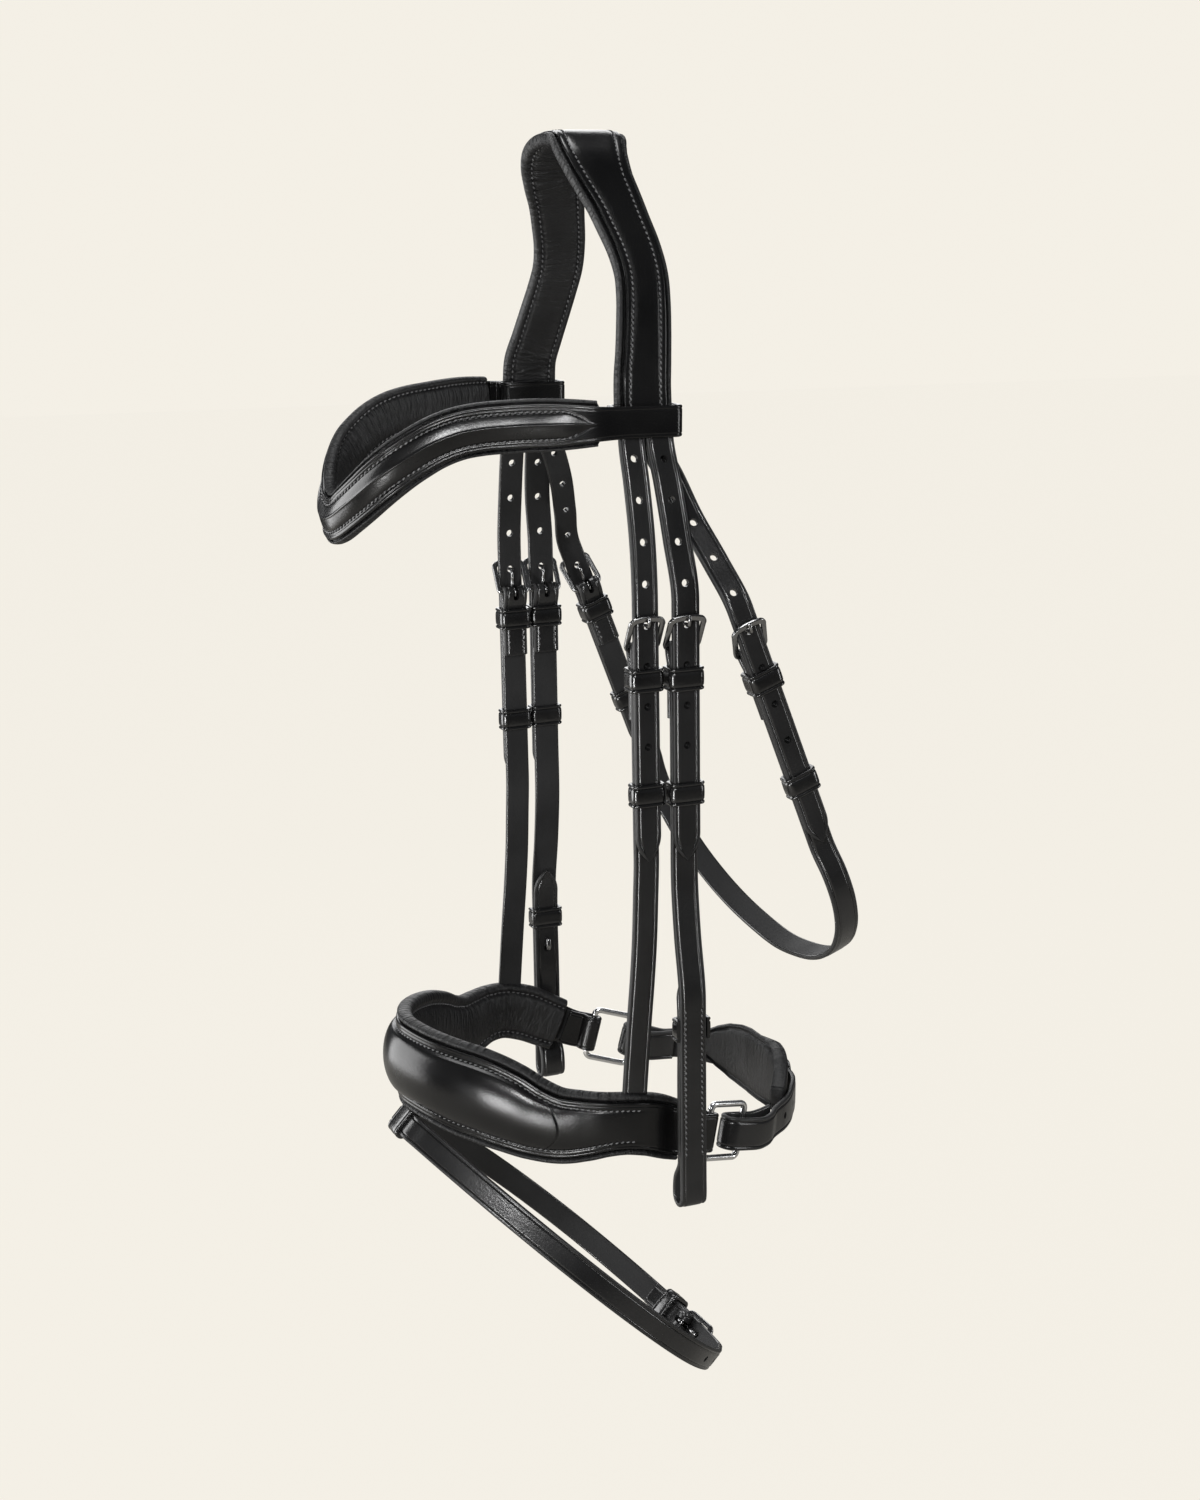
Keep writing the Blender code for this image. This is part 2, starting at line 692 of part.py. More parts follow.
def nose_frame(side):
    return side_frame(side, -NOSE_BUCKLE_FORWARD, NOSE_BUCKLE_OUT, BUCKLE_DROP, NOSE_STRAP_LEAN)


def cheek_frame(side):
    return side_frame(side, CHEEK_BUCKLE_BACK, CHEEK_BUCKLE_OUT, BUCKLE_DROP, CHEEK_LEAN)


def throat_frame(side):
    drop = BUCKLE_DROP + THROAT_BUCKLE_FALL
    return side_frame(side, THROAT_BUCKLE_BACK, THROAT_BUCKLE_OUT, drop, THROAT_LEAN)


def from_crown(side, top_x, layer_y, matrix, out, bends):
    """Billet points in its buckle's axes: from the crown's end, clear of the browband's loop.

    Each bend is a share of the way down to the buckle and a share of the way out and back.
    """
    inverse = matrix.inverted()
    hinge = matrix.translation
    points = []
    for down, outward, back in bends:
        x = top_x + (hinge.x - top_x) * back
        y = layer_y + (out - layer_y) * outward
        z = BILLET_TOP_Z + (hinge.z - BILLET_TOP_Z) * down
        points.append(tuple(inverse @ Vector((x, side * y, z))))
    return points


nose_bend_shares = ((0.0, 0.0, 0.0), (0.12, 0.0, 0.10), (0.30, 0.40, 0.30), (0.52, 0.78, 0.60))
cheek_bend_shares = ((0.0, 0.0, 0.0), (0.12, 0.0, 0.10), (0.30, 0.42, 0.26), (0.52, 0.78, 0.52))
throat_bend_shares = (
    (0.025, 0.0, 0.0), (0.125, 0.0, 0.09), (0.28, 0.09, 0.30), (0.44, 0.25, 0.465), (0.62, 0.64, 0.64)
)


def hanger_rows(side):
    """The noseband hanger below its fold, in its buckle's axes, drifting forward as it falls."""
    drift = side * NOSE_STRAP_DRIFT
    end = NOSE_STRAP_LENGTH
    curve = [(BILLET_TIP, 0, -LAYER), (end * 0.6, drift * 0.18, -LAYER), (end * 0.8, drift * 0.6, -LAYER),
             (end, drift, -LAYER)]
    return smooth_path(curve, 10)


def hanger(side):
    """The noseband's cheek strap: folded round its buckle above, sewn into the noseband below."""
    fold = np.array([(s, 0, n) for s, n in fold_path()])
    rows = hanger_rows(side)
    path = np.concatenate((fold, rows))
    flat = np.tile(np.array((0, 1.0, 0)), (len(fold), 1))
    across = np.concatenate((flat, across_path(rows, np.array((0, 0, 1.0)))))
    widths = np.full(len(path), NOSE_STRAP_WIDTH)
    name = f"noseband_hanger_{SIDE_NAMES[side]}"
    strap(name, path, across, widths, leather_black, nose_frame(side), [fold_slot()])


def cheekpiece(side):
    """The cheekpiece: its fold, the strap down to the bit loop, and the inner billet on its stud."""
    name = SIDE_NAMES[side]
    matrix = cheek_frame(side)
    inner = -LAYER
    outer = CHEEK_STEP_OUT
    straight_from = STUD_BILLET_TIP + BILLET_TAPER * 0.95
    swing_from = BILLET_TIP + BILLET_TAPER
    swing = straight_from - swing_from
    curve = [(swing_from, inner), (swing_from + swing * 0.45, inner + (outer - inner) * 0.35)]
    curve += [(straight_from + BILLET_TAPER * share, outer) for share in (0.0, 0.47, 1.17)]
    down = smooth_path(curve, 9)
    radius = BIT_LOOP_RADIUS + LEATHER / 2
    bottom = CHEEK_LENGTH - radius
    turn = arc((bottom, outer - radius), radius, 90, -90, 8)
    back = outer - LAYER
    closed_at = CHEEK_LENGTH - BIT_LOOP_HEIGHT
    loop_back = [(closed_at + BIT_LOOP_HEIGHT * 0.45, outer - 2 * radius * 0.92), (closed_at, back)]
    rise = [(closed_at - LEATHER, back)]
    tip_at = [STUD_BILLET_TIP + BILLET_TAPER * share for share in (1.0, 0.6, 0.25, 0.08, 0.0)]
    tip = [(s, back - max(0.0, (straight_from - s) * STUD_TIP_SLOPE)) for s in tip_at]
    flat = fold_path() + [tuple(p) for p in down] + turn + loop_back + rise + tip
    path = np.array([(s, 0, n) for s, n in flat])
    across = np.tile(np.array((0, 1.0, 0)), (len(path), 1))
    widths = tip_widths(path, CHEEK_WIDTH, BILLET_TAPER)
    part = strap(f"cheekpiece_{name}", path, across, widths, leather_black, matrix, [fold_slot()])

    stud_low = outer - LEATHER / 2 - GAP
    inner_face = back - LEATHER / 2
    hole = round_cutters(
        f"cheekpiece_stud_hole_{name}", [((STUD_AT, 0, back), (0, 0, 1))],
        STUD_RADIUS + 2 * GAP, LEATHER + GAP, matrix,
    )
    cut(part, hole)
    head = inner_face - STUD_RADIUS - GAP
    hook = [(STUD_AT, 0, stud_low), (STUD_AT, 0, (stud_low + head) / 2)]
    hook += [(STUD_AT, 0, head + STUD_RADIUS * 0.5)]
    hook += [(STUD_AT - STUD_RADIUS * 0.7, 0, head), (STUD_AT - STUD_HOOK, 0, head)]
    tube(f"hook_stud_{name}", hook, STUD_RADIUS, steel, matrix=matrix, sides=2)
    stud_keeper(name, inner_face, outer + LEATHER / 2, matrix)


def stud_keeper(name, low, high, matrix):
    """A band over the inner billet, sewn to the strap's two edges."""
    side = CHEEK_WIDTH / 2 + GAP + KEEPER_THICKNESS / 2
    floor = low - GAP - KEEPER_THICKNESS / 2
    corner = KEEPER_THICKNESS
    section = [(-side, high)] + arc((-side + corner, floor + corner), corner, 180, 270, 2)
    section += arc((side - corner, floor + corner), corner, 270, 360, 2) + [(side, high)]
    path = np.array([(STUD_KEEPER_AT, y, n) for y, n in section])
    across = np.tile(np.array((1.0, 0, 0)), (len(path), 1))
    widths = np.full(len(path), KEEPER_LENGTH)
    strap(f"stud_keeper_{name}", path, across, widths, leather_black, matrix, (), KEEPER_THICKNESS)


for side in (LEFT, RIGHT):
    frames = {
        "noseband": (nose_frame(side), NOSE_STRAP_WIDTH, NOSE_TOP_X, OUTER_LAYER_Y, NOSE_BUCKLE_OUT,
                     nose_bend_shares),
        "cheek": (cheek_frame(side), CHEEK_WIDTH, CHEEK_TOP_X, OUTER_LAYER_Y, CHEEK_BUCKLE_OUT,
                  cheek_bend_shares),
        "throat": (throat_frame(side), THROAT_WIDTH, CROWN_END_X, INNER_LAYER_Y, THROAT_BUCKLE_OUT,
                   throat_bend_shares),
    }
    for kind, (matrix, width, top_x, layer_y, out, bends) in frames.items():
        above = from_crown(side, top_x, layer_y, matrix, out, bends)
        billet(kind, side, width, above, matrix)
        buckle(kind, SIDE_NAMES[side], width, matrix)
        keepers(kind, side, width, matrix)
    hanger(side)
    cheekpiece(side)


# Throatlash
def throatlash():
    """One strap from the left buckle, round under the throat, to the right one."""
    left = throat_frame(LEFT)
    plane_across = np.array(left.to_3x3() @ Vector((0, 1, 0)))
    down = np.array(left.to_3x3() @ Vector((1, 0, 0)))
    origin = np.array((left.translation.x, 0, left.translation.z))
    middle = THROAT_BUCKLE_OUT - LAYER
    half = [(BILLET_TIP * share, middle) for share in (0.3, 0.7, 0.95, 1.03)]
    half += [(s * THROAT_HANG, y * middle) for s, y in throat_shares]
    hang = smooth_path(half + [(s, -y) for s, y in half[-2::-1]], 44)
    fold = [(s, THROAT_BUCKLE_OUT + n) for s, n in fold_path()]
    loop = fold + [tuple(p) for p in hang] + [(s, -y) for s, y in fold[::-1]]
    path = np.array([origin + down * s - np.array((0, 1.0, 0)) * y for s, y in loop])
    across = np.tile(plane_across, (len(path), 1))
    widths = np.full(len(path), THROAT_WIDTH)
    first, last = fold_slot()
    rows = len(path) - 1
    slots = [(first, last), (rows - last, rows - first)]
    strap("throatlash", path, across, widths, leather_black, None, slots)


throatlash()


# Browband
def browband_path():
    """Inner face of the browband's leather from its left loop to the middle, with heights."""
    outer = CROWN_HALF_SPAN + LEATHER + 2 * GAP
    inner = CROWN_HALF_SPAN - CROWN_PADDING - GAP * 2
    half_loop = (NOSE_STRAP_WIDTH + CHEEK_WIDTH + 3 * GAP) / 2
    rear = CROWN_END_X + half_loop + LOOP_CORNER
    front = CROWN_END_X - half_loop - GAP
    top = CROWN_END_Z - BROWBAND_LOOP_HEIGHT * 0.4
    seam = outer - GAP
    bend = LEATHER * 1.4
    plan = [(front - bend - LOOP_SEAM, seam)]
    plan += arc((front - bend, seam - bend), bend, 90, 0, 4)
    plan += [(front, inner + LOOP_CORNER), (front + LOOP_CORNER, inner)]
    plan += arc((rear - LOOP_CORNER, inner + LOOP_CORNER), LOOP_CORNER, -90, 0, 3)
    plan += arc((rear - LOOP_CORNER, outer - LOOP_CORNER), LOOP_CORNER, 0, 90, 3)
    plan += [((front * 2 + rear) / 3, outer)]
    rows = [(x, -y, top, BROWBAND_LOOP_HEIGHT, 0.0) for x, y in plan]
    band = [
        (-forward * BROWBAND_REACH, -out * outer, top - down * BROWBAND_DIP, high * BROWBAND_HEIGHT,
         min(1.0, max(0.0, (forward - browband_shares[1][0]) / browband_shares[1][0])))
        for forward, out, down, high in browband_shares
    ]
    half = np.array(band)
    full = np.concatenate((half, half[-2::-1] * (1, -1, 1, 1, 1)))
    return np.array(rows), smooth_path(full, 41)


def level_rows(rows):
    """Upright direction and outward normal for a band that runs round the head."""
    path = rows[:, :3]
    tangent = tangents(path)
    upright = np.array((0, 0, 1.0)) - tangent * tangent[:, 2:3]
    upright /= np.linalg.norm(upright, axis=1)[:, None]
    return path, upright, np.cross(upright, tangent)


def band_ring(centre, upright, outward, height, thickness, profile, rise):
    """A leather band's section: flat inside, raised outside by the profile."""
    half = height / 2
    outer = [(u, thickness + rise * v) for u, v in profile]
    if profile[-1][0] == 0:
        mirrored = [(-u, w) for u, w in outer[-2::-1]]
    else:
        mirrored = [(-u, w) for u, w in outer[::-1]]
    section = [(-1, 0), (1, 0), (1, thickness)] + outer + mirrored + [(-1, thickness)]
    return [centre + upright * half * u + outward * w for u, w in section]


def browband():
    loop, band = browband_path()
    mirrored = loop[::-1] * (1, -1, 1, 1, 1)
    rows = np.concatenate((loop, band, mirrored))
    path, upright, outward = level_rows(rows)
    rings = [
        band_ring(p, u, n, h, LEATHER, ridge_shares, BROWBAND_RIDGE * r)
        for p, u, n, h, r in zip(path, upright, outward, rows[:, 3], rows[:, 4])
    ]
    loft("browband_shell", rings, leather_black)
    start = loop[0][0] - LEATHER
    lined = np.array([row for row in band if row[0] < start])
    path, upright, outward = level_rows(lined)
    seat = path - outward * LINING_GAP
    heights = lined[:, 3] + 2 * BROWBAND_ROLL
    rings = [
        padding_ring(p, u, -n, h, BROWBAND_PADDING, BROWBAND_ROLL)
        for p, u, n, h in zip(seat, upright, outward, heights)
    ]
    loft("browband_padding", rings, lining_black)


browband()


# Noseband
RING_TURN = RING_RADIUS + GAP


def noseband_rows():
    """Inner face of the noseband's leather, left to right, with heights and domes."""
    half = np.array([
        (-forward * NOSEBAND_REACH, -out * NOSEBAND_HALF_WIDTH, -NOSEBAND_DROP - fall * NOSEBAND_FALL,
         high * NOSEBAND_HEIGHT, dome)
        for forward, out, fall, high, dome in noseband_shares
    ])
    full = np.concatenate((half, half[-2::-1] * (1, -1, 1, 1, 1)))
    fine = smooth_path(full, 400)
    length = np.concatenate(([0], np.cumsum(np.linalg.norm(np.diff(fine[:, :3], axis=0), axis=1))))
    wanted = [RING_SEAM_FROM, RING_SEAM_TO]
    wanted += list(np.linspace(RING_SEAM_TO, length[-1] - RING_SEAM_TO, 43)[1:-1])
    wanted += [length[-1] - RING_SEAM_TO, length[-1] - RING_SEAM_FROM]
    return np.stack([np.interp(wanted, length, fine[:, k]) for k in range(fine.shape[1])], axis=1)


def ring_axes(side):
    """The side ring's axes: X back along the ring from its front bar, Z up along the bar."""
    turn = math.radians(RING_TURN_IN)
    pitch = math.radians(RING_PITCH)
    level = math.cos(pitch)
    back = Vector((math.cos(turn) * level, -side * math.sin(turn) * level, -math.sin(pitch)))
    out = Vector((math.sin(turn), side * math.cos(turn), 0))
    end = Vector((
        NOSEBAND_REAR,
        side * noseband_shares[0][1] * NOSEBAND_HALF_WIDTH,
        -NOSEBAND_DROP - noseband_shares[0][2] * NOSEBAND_FALL,
    ))
    return place_frame(end - out * RING_TURN, back, out.cross(back) * -side)


def ring_fold(side, rows, upright, outward):
    """The noseband's end turned round the ring's front bar, its inner end sewn to the band."""
    axes = ring_axes(side)
    turned = [(RING_TURN * -2.6, RING_TURN * 0.72), (RING_TURN * -1.4, RING_TURN * -0.62)]
    turned += arc((0, 0), RING_TURN, 250, 450, 7)
    points = [np.array(axes @ Vector((s, side * n, 0))) for s, n in turned]
    seam = [rows[k, :3] - outward[k] * GAP for k in (1, 0)]
    bar = np.array(axes.to_3x3() @ Vector((0, 0, 1)))
    ends = [upright[1], upright[0]] + [bar] * len(points)
    path = np.array(seam + points)
    normal = np.cross(ends, tangents(path))
    return path, np.array(ends), normal / np.linalg.norm(normal, axis=1)[:, None]


def noseband():
    rows = noseband_rows()
    path, upright, outward = level_rows(rows)
    left = ring_fold(LEFT, rows, upright, outward)
    right = [part * (1, -1, 1) for part in left]
    bands = [
        np.concatenate((first, middle, last[::-1]))
        for first, middle, last in zip(left, (path, upright, outward), right)
    ]
    end = np.tile(rows[0, 3:5], (len(left[0]), 1))
    shape = np.concatenate((end, rows[:, 3:5], end))
    rings = [
        band_ring(p, u, n, high, LEATHER, dome_shares, NOSEBAND_DOME * dome)
        for p, u, n, (high, dome) in zip(*bands, shape)
    ]
    loft("noseband_shell", rings, leather_black)

    lined = slice(2, len(rows) - 2)
    seat = path[lined] - outward[lined] * LINING_GAP
    heights = rows[lined, 3] + 2 * NOSEBAND_ROLL
    rings = [
        padding_ring(p, u, -n, h, NOSEBAND_PADDING, NOSEBAND_ROLL)
        for p, u, n, h in zip(seat, upright[lined], outward[lined], heights)
    ]
    padding = loft("noseband_padding", rings, lining_black)
    for side in (LEFT, RIGHT):
        pocket(padding, side)


def pocket(padding, side):
    """The place in the lining where the cheek strap is sewn in."""
    name = f"noseband_pocket_{SIDE_NAMES[side]}"
    path = hanger_rows(side)[-4:]
    step = (path[-1] - path[-2]) / np.linalg.norm(path[-1] - path[-2])
    path = np.array([*path[:-1], path[-1] + step * GAP])
    across = across_path(path, np.array((0, 0, 1.0)))
    bm = bmesh.new()
    bmesh.ops.create_grid(bm, x_segments=len(path) - 1, y_segments=1, size=1)
    half = NOSE_STRAP_WIDTH / 2 + GAP
    for vertex in bm.verts:
        row = round((vertex.co.x + 1) / 2 * (len(path) - 1))
        end = 1 if vertex.co.y > 0 else -1
        vertex.co = Vector(path[row] + across[row] * half * end)
    cutter = add_cutter(name, to_mesh(bm, name), nose_frame(side))
    depth = cutter.modifiers.new("depth", "SOLIDIFY")
    depth.thickness = LEATHER + 2 * GAP + 2 * NOSE_STRAP_SEAT
    depth.offset = 0
    cut(padding, cutter)


noseband()


# Side rings
def side_ring(side):
    outline = rounded_frame(RING_LENGTH / 2, RING_INNER_HEIGHT / 2 + RING_RADIUS, RING_CORNER, 3)
    points = [(u + RING_LENGTH / 2, 0, v) for u, v in outline]
    tube(f"side_ring_{SIDE_NAMES[side]}", points, RING_RADIUS, steel, closed=True, matrix=ring_axes(side))


for side in (LEFT, RIGHT):
    side_ring(side)


# Straps laid on a base curve: s runs along it and n stands off it, outward
class BaseCurve:
    def __init__(self, points, across):
        self.points = np.array(points)
        self.across = np.array(across)
        steps = np.linalg.norm(np.diff(self.points, axis=0), axis=1)
        self.lengths = np.concatenate(([0], np.cumsum(steps)))
        self.total = self.lengths[-1]
        self.closed = bool(np.allclose(self.points[0], self.points[-1], atol=GAP))
        self.tangent = tangents(self.points)
        if self.closed:
            joined = self.tangent[0] + self.tangent[-1]
            self.tangent[0] = joined / np.linalg.norm(joined)
            self.tangent[-1] = self.tangent[0]
        out = np.cross(self.tangent, self.across)
        self.out = out / np.linalg.norm(out, axis=1)[:, None]

    def read(self, table, s):
        if self.closed:
            s = s % self.total
        return np.array([np.interp(s, self.lengths, table[:, k]) for k in range(3)])

    def at(self, s, n=0.0):
        over = 0.0
        if not self.closed:
            over = s - min(max(s, 0.0), self.total)
        ahead = self.read(self.tangent, s) * over
        return self.read(self.points, s) + ahead + self.read(self.out, s) * n

    def frame(self, s, n=0.0):
        return place_frame(self.at(s, n), self.read(self.tangent, s), self.read(self.out, s))

    def place_of(self, axis, value, first=0.0, last=None):
        """Length along the curve where one coordinate first reaches a value."""
        last = self.total if last is None else last
        reach = np.linspace(first, last, len(self.points))
        track = np.array([self.at(s)[axis] for s in reach])
        crossing = np.nonzero((track[:-1] - value) * (track[1:] - value) <= 0)[0][0]
        share = (value - track[crossing]) / (track[crossing + 1] - track[crossing])
        return reach[crossing] + (reach[crossing + 1] - reach[crossing]) * share


def rise(s, hinge):
    """How far a billet has climbed from the base curve to the layer over the strap."""
    climb = min(max((s - (hinge - BILLET_STRAIGHT - BILLET_RISE)) / BILLET_RISE, 0.0), 1.0)
    return LAYER * (3 * climb**2 - 2 * climb**3)


def lay(name, curve, places, width, taper, slots=()):
    """A strap through places on a curve: each a length along it and a height off it."""
    path = np.array([curve.at(s, n) for s, n in places])
    across = np.array([curve.read(curve.across, s) for s, n in places])
    widths = tip_widths(path, width, BILLET_TAPER) if taper else np.full(len(path), width)
    return strap(name, path, across, widths, leather_black, None, slots)


def lay_billet(hinge, first, length, steps):
    """Places along a billet that climbs over the hinge and ends in a point."""
    places = [hinge + s for s in between_holes(first - hinge, 0.0)]
    places += [hinge + s for s in lap_steps(steps) if s < length - BILLET_TAPER]
    places += [hinge + length - BILLET_TAPER * share for share in (1.0, 0.6, 0.25, 0.08, 0.0)]
    return [(s, rise(s, hinge)) for s in places]


def punch(part, name, curve, hinge, first, last):
    """Holes through a billet, counted from the one the tongue goes through."""
    places = []
    for hole in range(first, last + 1):
        s = hinge + TONGUE_HOLE_AT + hole * HOLE_PITCH
        places.append((curve.at(s, rise(s, hinge)), curve.read(curve.out, s)))
    cut(part, round_cutters(name, places, HOLE_RADIUS, LEATHER + 2 * CUT_OVERRUN))


def curved_keeper(name, curve, at, width):
    """A sewn keeper round the fold, the strap and the billet where they lie on a curve."""
    low = -2 * LAYER - LEATHER / 2 - CURVED_PLAY
    high = LEATHER / 2 + CURVED_PLAY
    keeper(name, 0, width / 2 + CURVED_PLAY, low, high, curve.frame(at, LAYER), CURVED_KEEPER_LENGTH)


# Chin strap, from the left ring to the right one
def chin_curve():
    """The chin strap's middle line, turned at its ends to stand like the rings' bars."""
    axes = ring_axes(LEFT)
    start = axes @ Vector((RING_LENGTH, 0, 0))
    joint = axes @ Vector((RING_LENGTH + CRANK_LOOP_LENGTH * 0.4, 0, 0))
    depth = CHIN_REAR - start.x
    fall = -CHIN_DROP - start.z
    half = [(start.x + depth * back, start.y * out, start.z + fall * back) for back, out in chin_shares]
    half = [tuple(start), tuple(joint), *half]
    full = half + [(x, -y, z) for x, y, z in half[-2::-1]]
    points = smooth_path(full, 80)
    bar = np.array(axes.to_3x3() @ Vector((0, 0, 1)))
    level = np.clip((points[:, :1] - joint.x) / (CHIN_REAR - joint.x) * 2, 0, 1)
    bars = np.where(points[:, 1:2] < 0, bar, bar * (1, -1, 1))
    upright = bars * (1 - level) + np.array((0, 0, 1.0)) * level
    return BaseCurve(points, upright / np.linalg.norm(upright, axis=1)[:, None])


def chin_straps():
    curve = chin_curve()
    hinge = curve.place_of(1, CRANK_BUCKLE_SIDE)
    half = LOOSE_LOOP_HALF
    middle = half - RING_RADIUS - GAP - LEATHER / 2
    length = CRANK_LOOP_LENGTH
    places = [(length, -LAYER * 1.08), (length * 0.6, middle - half), (length * 0.25, middle - half)]
    places += arc((-CRANK_LOOP_FORWARD, middle), half, 270, 90, 8)
    places += [(length * 0.3, middle + half), (length * 0.72, (middle + half) * 0.66)]
    places += [(length * 0.98, (middle + half) * 0.17)]
    billet_places = lay_billet(hinge, length * 1.25, CRANK_TIP, 4)
    part = lay("crank_billet", curve, places + billet_places, CHIN_WIDTH, True)
    punch(part, "crank_holes", curve, hinge, -3, 1)

    fold = [(hinge + s, n + LAYER) for s, n in fold_path(4)]
    run = [(hinge + s, 0) for s in lap_steps(4)]
    end = curve.total
    length = RING_LOOP_LENGTH
    run += [(s, 0) for s in np.linspace(run[-1][0], end - length * 1.35, 7)[1:]]
    run += [(end - length, half * 0.2), (end - length * 0.55, middle + half * 0.85)]
    run += arc((end, middle), half, 90, -90, 8)
    run += [(end - length * 0.4, middle - half), (end - length, -LAYER * 1.1 + half * 0.12)]
    run += [(end - length * 1.35, -LAYER * 1.02)]
    lay("crank_strap", curve, fold + run, CHIN_WIDTH, False, [fold_slot(4)])
    frame = curve.frame(hinge, LAYER)
    buckle("crank", None, CHIN_WIDTH, frame)
    curved_keeper("crank_keeper", curve, hinge + CRANK_KEEPER_AT, CHIN_WIDTH)
    chin_pad(curve, hinge)


def chin_pad(curve, hinge):
    """The padded piece between the chin and the straps, dented behind the buckle."""
    first = curve.place_of(1, -CHIN_PAD_HALF_SPAN)
    last = curve.place_of(1, CHIN_PAD_HALF_SPAN)
    flat = LEATHER / 2 + 2 * GAP
    bulge = -HINGE_HEIGHT + FOLD_RADIUS + LEATHER / 2 + GAP - LAYER
    lap = flat + LAYER
    dents = (
        (-BUCKLE_LENGTH - FOLD_TAPER, flat), (-FOLD_TAPER, bulge), (CRANK_KEEPER_AT * 1.35, bulge),
        (CRANK_KEEPER_AT * 1.6, lap), (FOLD_BACK + GAP, lap), (FOLD_BACK + FOLD_TAPER, flat),
    )
    knots = [hinge + s for s, depth in dents]
    spots = [s for s in np.linspace(first, last, 15) if min(abs(s - k) for k in knots) > LEATHER]
    spots = np.array(sorted(spots + [k for k in knots if k < last]))
    depths = np.interp(spots, knots, [depth for s, depth in dents])
    reach = np.abs(spots * 2 - first - last) / (last - first)
    tapers = np.interp(reach, np.linspace(0, 1, len(pad_taper_shares)), pad_taper_shares[::-1])
    inner = flat + CHIN_PAD_THICKNESS
    section = list(pad_shares) + [(-u, v) for u, v in pad_shares[:0:-1]]
    up = np.array((0, 0, 1.0))
    rings = []
    for s, depth, taper in zip(spots, depths, tapers):
        outward = curve.read(curve.out, s)
        half = CHIN_PAD_HEIGHT / 2 * taper
        centre = curve.at(s) + up * CHIN_PAD_RISE
        rings.append([centre + up * half * u - outward * (depth + (inner - depth) * v) for u, v in section])
    loft("chin_pad", rings, lining_black)


chin_straps()


# Flash strap, turning in its loop under the noseband
loop_half_width = FLASH_WIDTH / 2 + GAP + KEEPER_THICKNESS
loop_half_depth = LEATHER / 2 + GAP + KEEPER_THICKNESS
FLASH_AXIS = Vector((
    -(NOSEBAND_REACH - LINING_GAP - NOSEBAND_PADDING * 0.25),
    0,
    -(NOSEBAND_DROP + NOSEBAND_HEIGHT * 0.47 + NOSEBAND_ROLL + GAP),
))


def flash_curve():
    angle = math.radians(FLASH_LEAN)
    down = np.array((math.cos(angle), 0, -math.sin(angle)))
    normal = np.array((math.sin(angle), 0, math.cos(angle)))
    front = np.array(FLASH_AXIS) - normal * loop_half_width + down * loop_half_depth
    half = [
        front + down * along * FLASH_LENGTH + np.array((0, 1.0, 0)) * out * FLASH_HALF_WIDTH
        for along, out in flash_shares
    ]
    full = half + [point * (1, -1, 1) for point in half[-2::-1]]
    points = smooth_path(full, 160)
    return BaseCurve(points, np.tile(normal, (len(points), 1)))


def flash():
    curve = flash_curve()
    hinge = curve.place_of(1, FLASH_BUCKLE_SIDE, 0, curve.total / 4)
    end = curve.total + hinge
    climb = end - BILLET_STRAIGHT - BILLET_RISE
    front = curve.total / 2
    places = [(hinge + s, n + LAYER) for s, n in fold_path(4)]
    places += [(hinge + s, 0) for s in lap_steps(4)]
    level = FLASH_LOOP_LENGTH * 0.6
    places += [(s, 0) for s in np.linspace(places[-1][0], front - level, 18)[1:]]
    places += [(s, 0) for s in np.linspace(front + level, climb - HOLE_PITCH * 2.5, 8)]
    places += lay_billet(end, climb - HOLE_PITCH * 2, FLASH_TIP, 4)
    part = lay("flash_strap", curve, places, FLASH_WIDTH, True, [fold_slot(4)])
    punch(part, "flash_holes", curve, end, -4, 1)
    buckle("flash", None, FLASH_WIDTH, curve.frame(hinge, LAYER))
    curved_keeper("flash_keeper", curve, hinge + FLASH_KEEPER_AT, FLASH_WIDTH)
    middle = curve.frame(front)
    keeper("flash_loop", 0, FLASH_WIDTH / 2, -LEATHER / 2, LEATHER / 2, middle, FLASH_LOOP_LENGTH)


flash()


# The flash pieces turn together on the loop's axis
flash_axis = bpy.data.objects.new("flash_axis", None)
parts.objects.link(flash_axis)
flash_axis.location = FLASH_AXIS
bpy.context.view_layer.update()
for name in ("flash_strap", "flash_buckle", "flash_tongue", "flash_keeper", "flash_loop"):
    piece = bpy.data.objects[name]
    piece.parent = flash_axis
    piece.matrix_parent_inverse = flash_axis.matrix_world.inverted()
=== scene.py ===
"""A black dressage bridle, hung as if on a horse that looks along -X.

Lengths are in metres. The horse's left side is -Y and +Z is up.
"""
import math

import bpy
import numpy as np
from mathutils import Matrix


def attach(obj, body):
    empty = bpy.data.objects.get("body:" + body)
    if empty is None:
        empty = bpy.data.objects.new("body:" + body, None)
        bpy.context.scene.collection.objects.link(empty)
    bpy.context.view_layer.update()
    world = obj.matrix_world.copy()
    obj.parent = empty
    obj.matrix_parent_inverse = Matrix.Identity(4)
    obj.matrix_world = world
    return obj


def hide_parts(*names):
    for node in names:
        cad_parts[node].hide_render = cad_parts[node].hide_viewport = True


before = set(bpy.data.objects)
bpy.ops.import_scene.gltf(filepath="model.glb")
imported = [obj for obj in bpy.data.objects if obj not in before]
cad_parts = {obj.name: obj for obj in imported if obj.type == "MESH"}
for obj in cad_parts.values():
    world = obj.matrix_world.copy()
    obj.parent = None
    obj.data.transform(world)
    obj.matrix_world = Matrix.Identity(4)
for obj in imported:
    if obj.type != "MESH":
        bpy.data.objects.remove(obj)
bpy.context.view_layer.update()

MM = 0.001

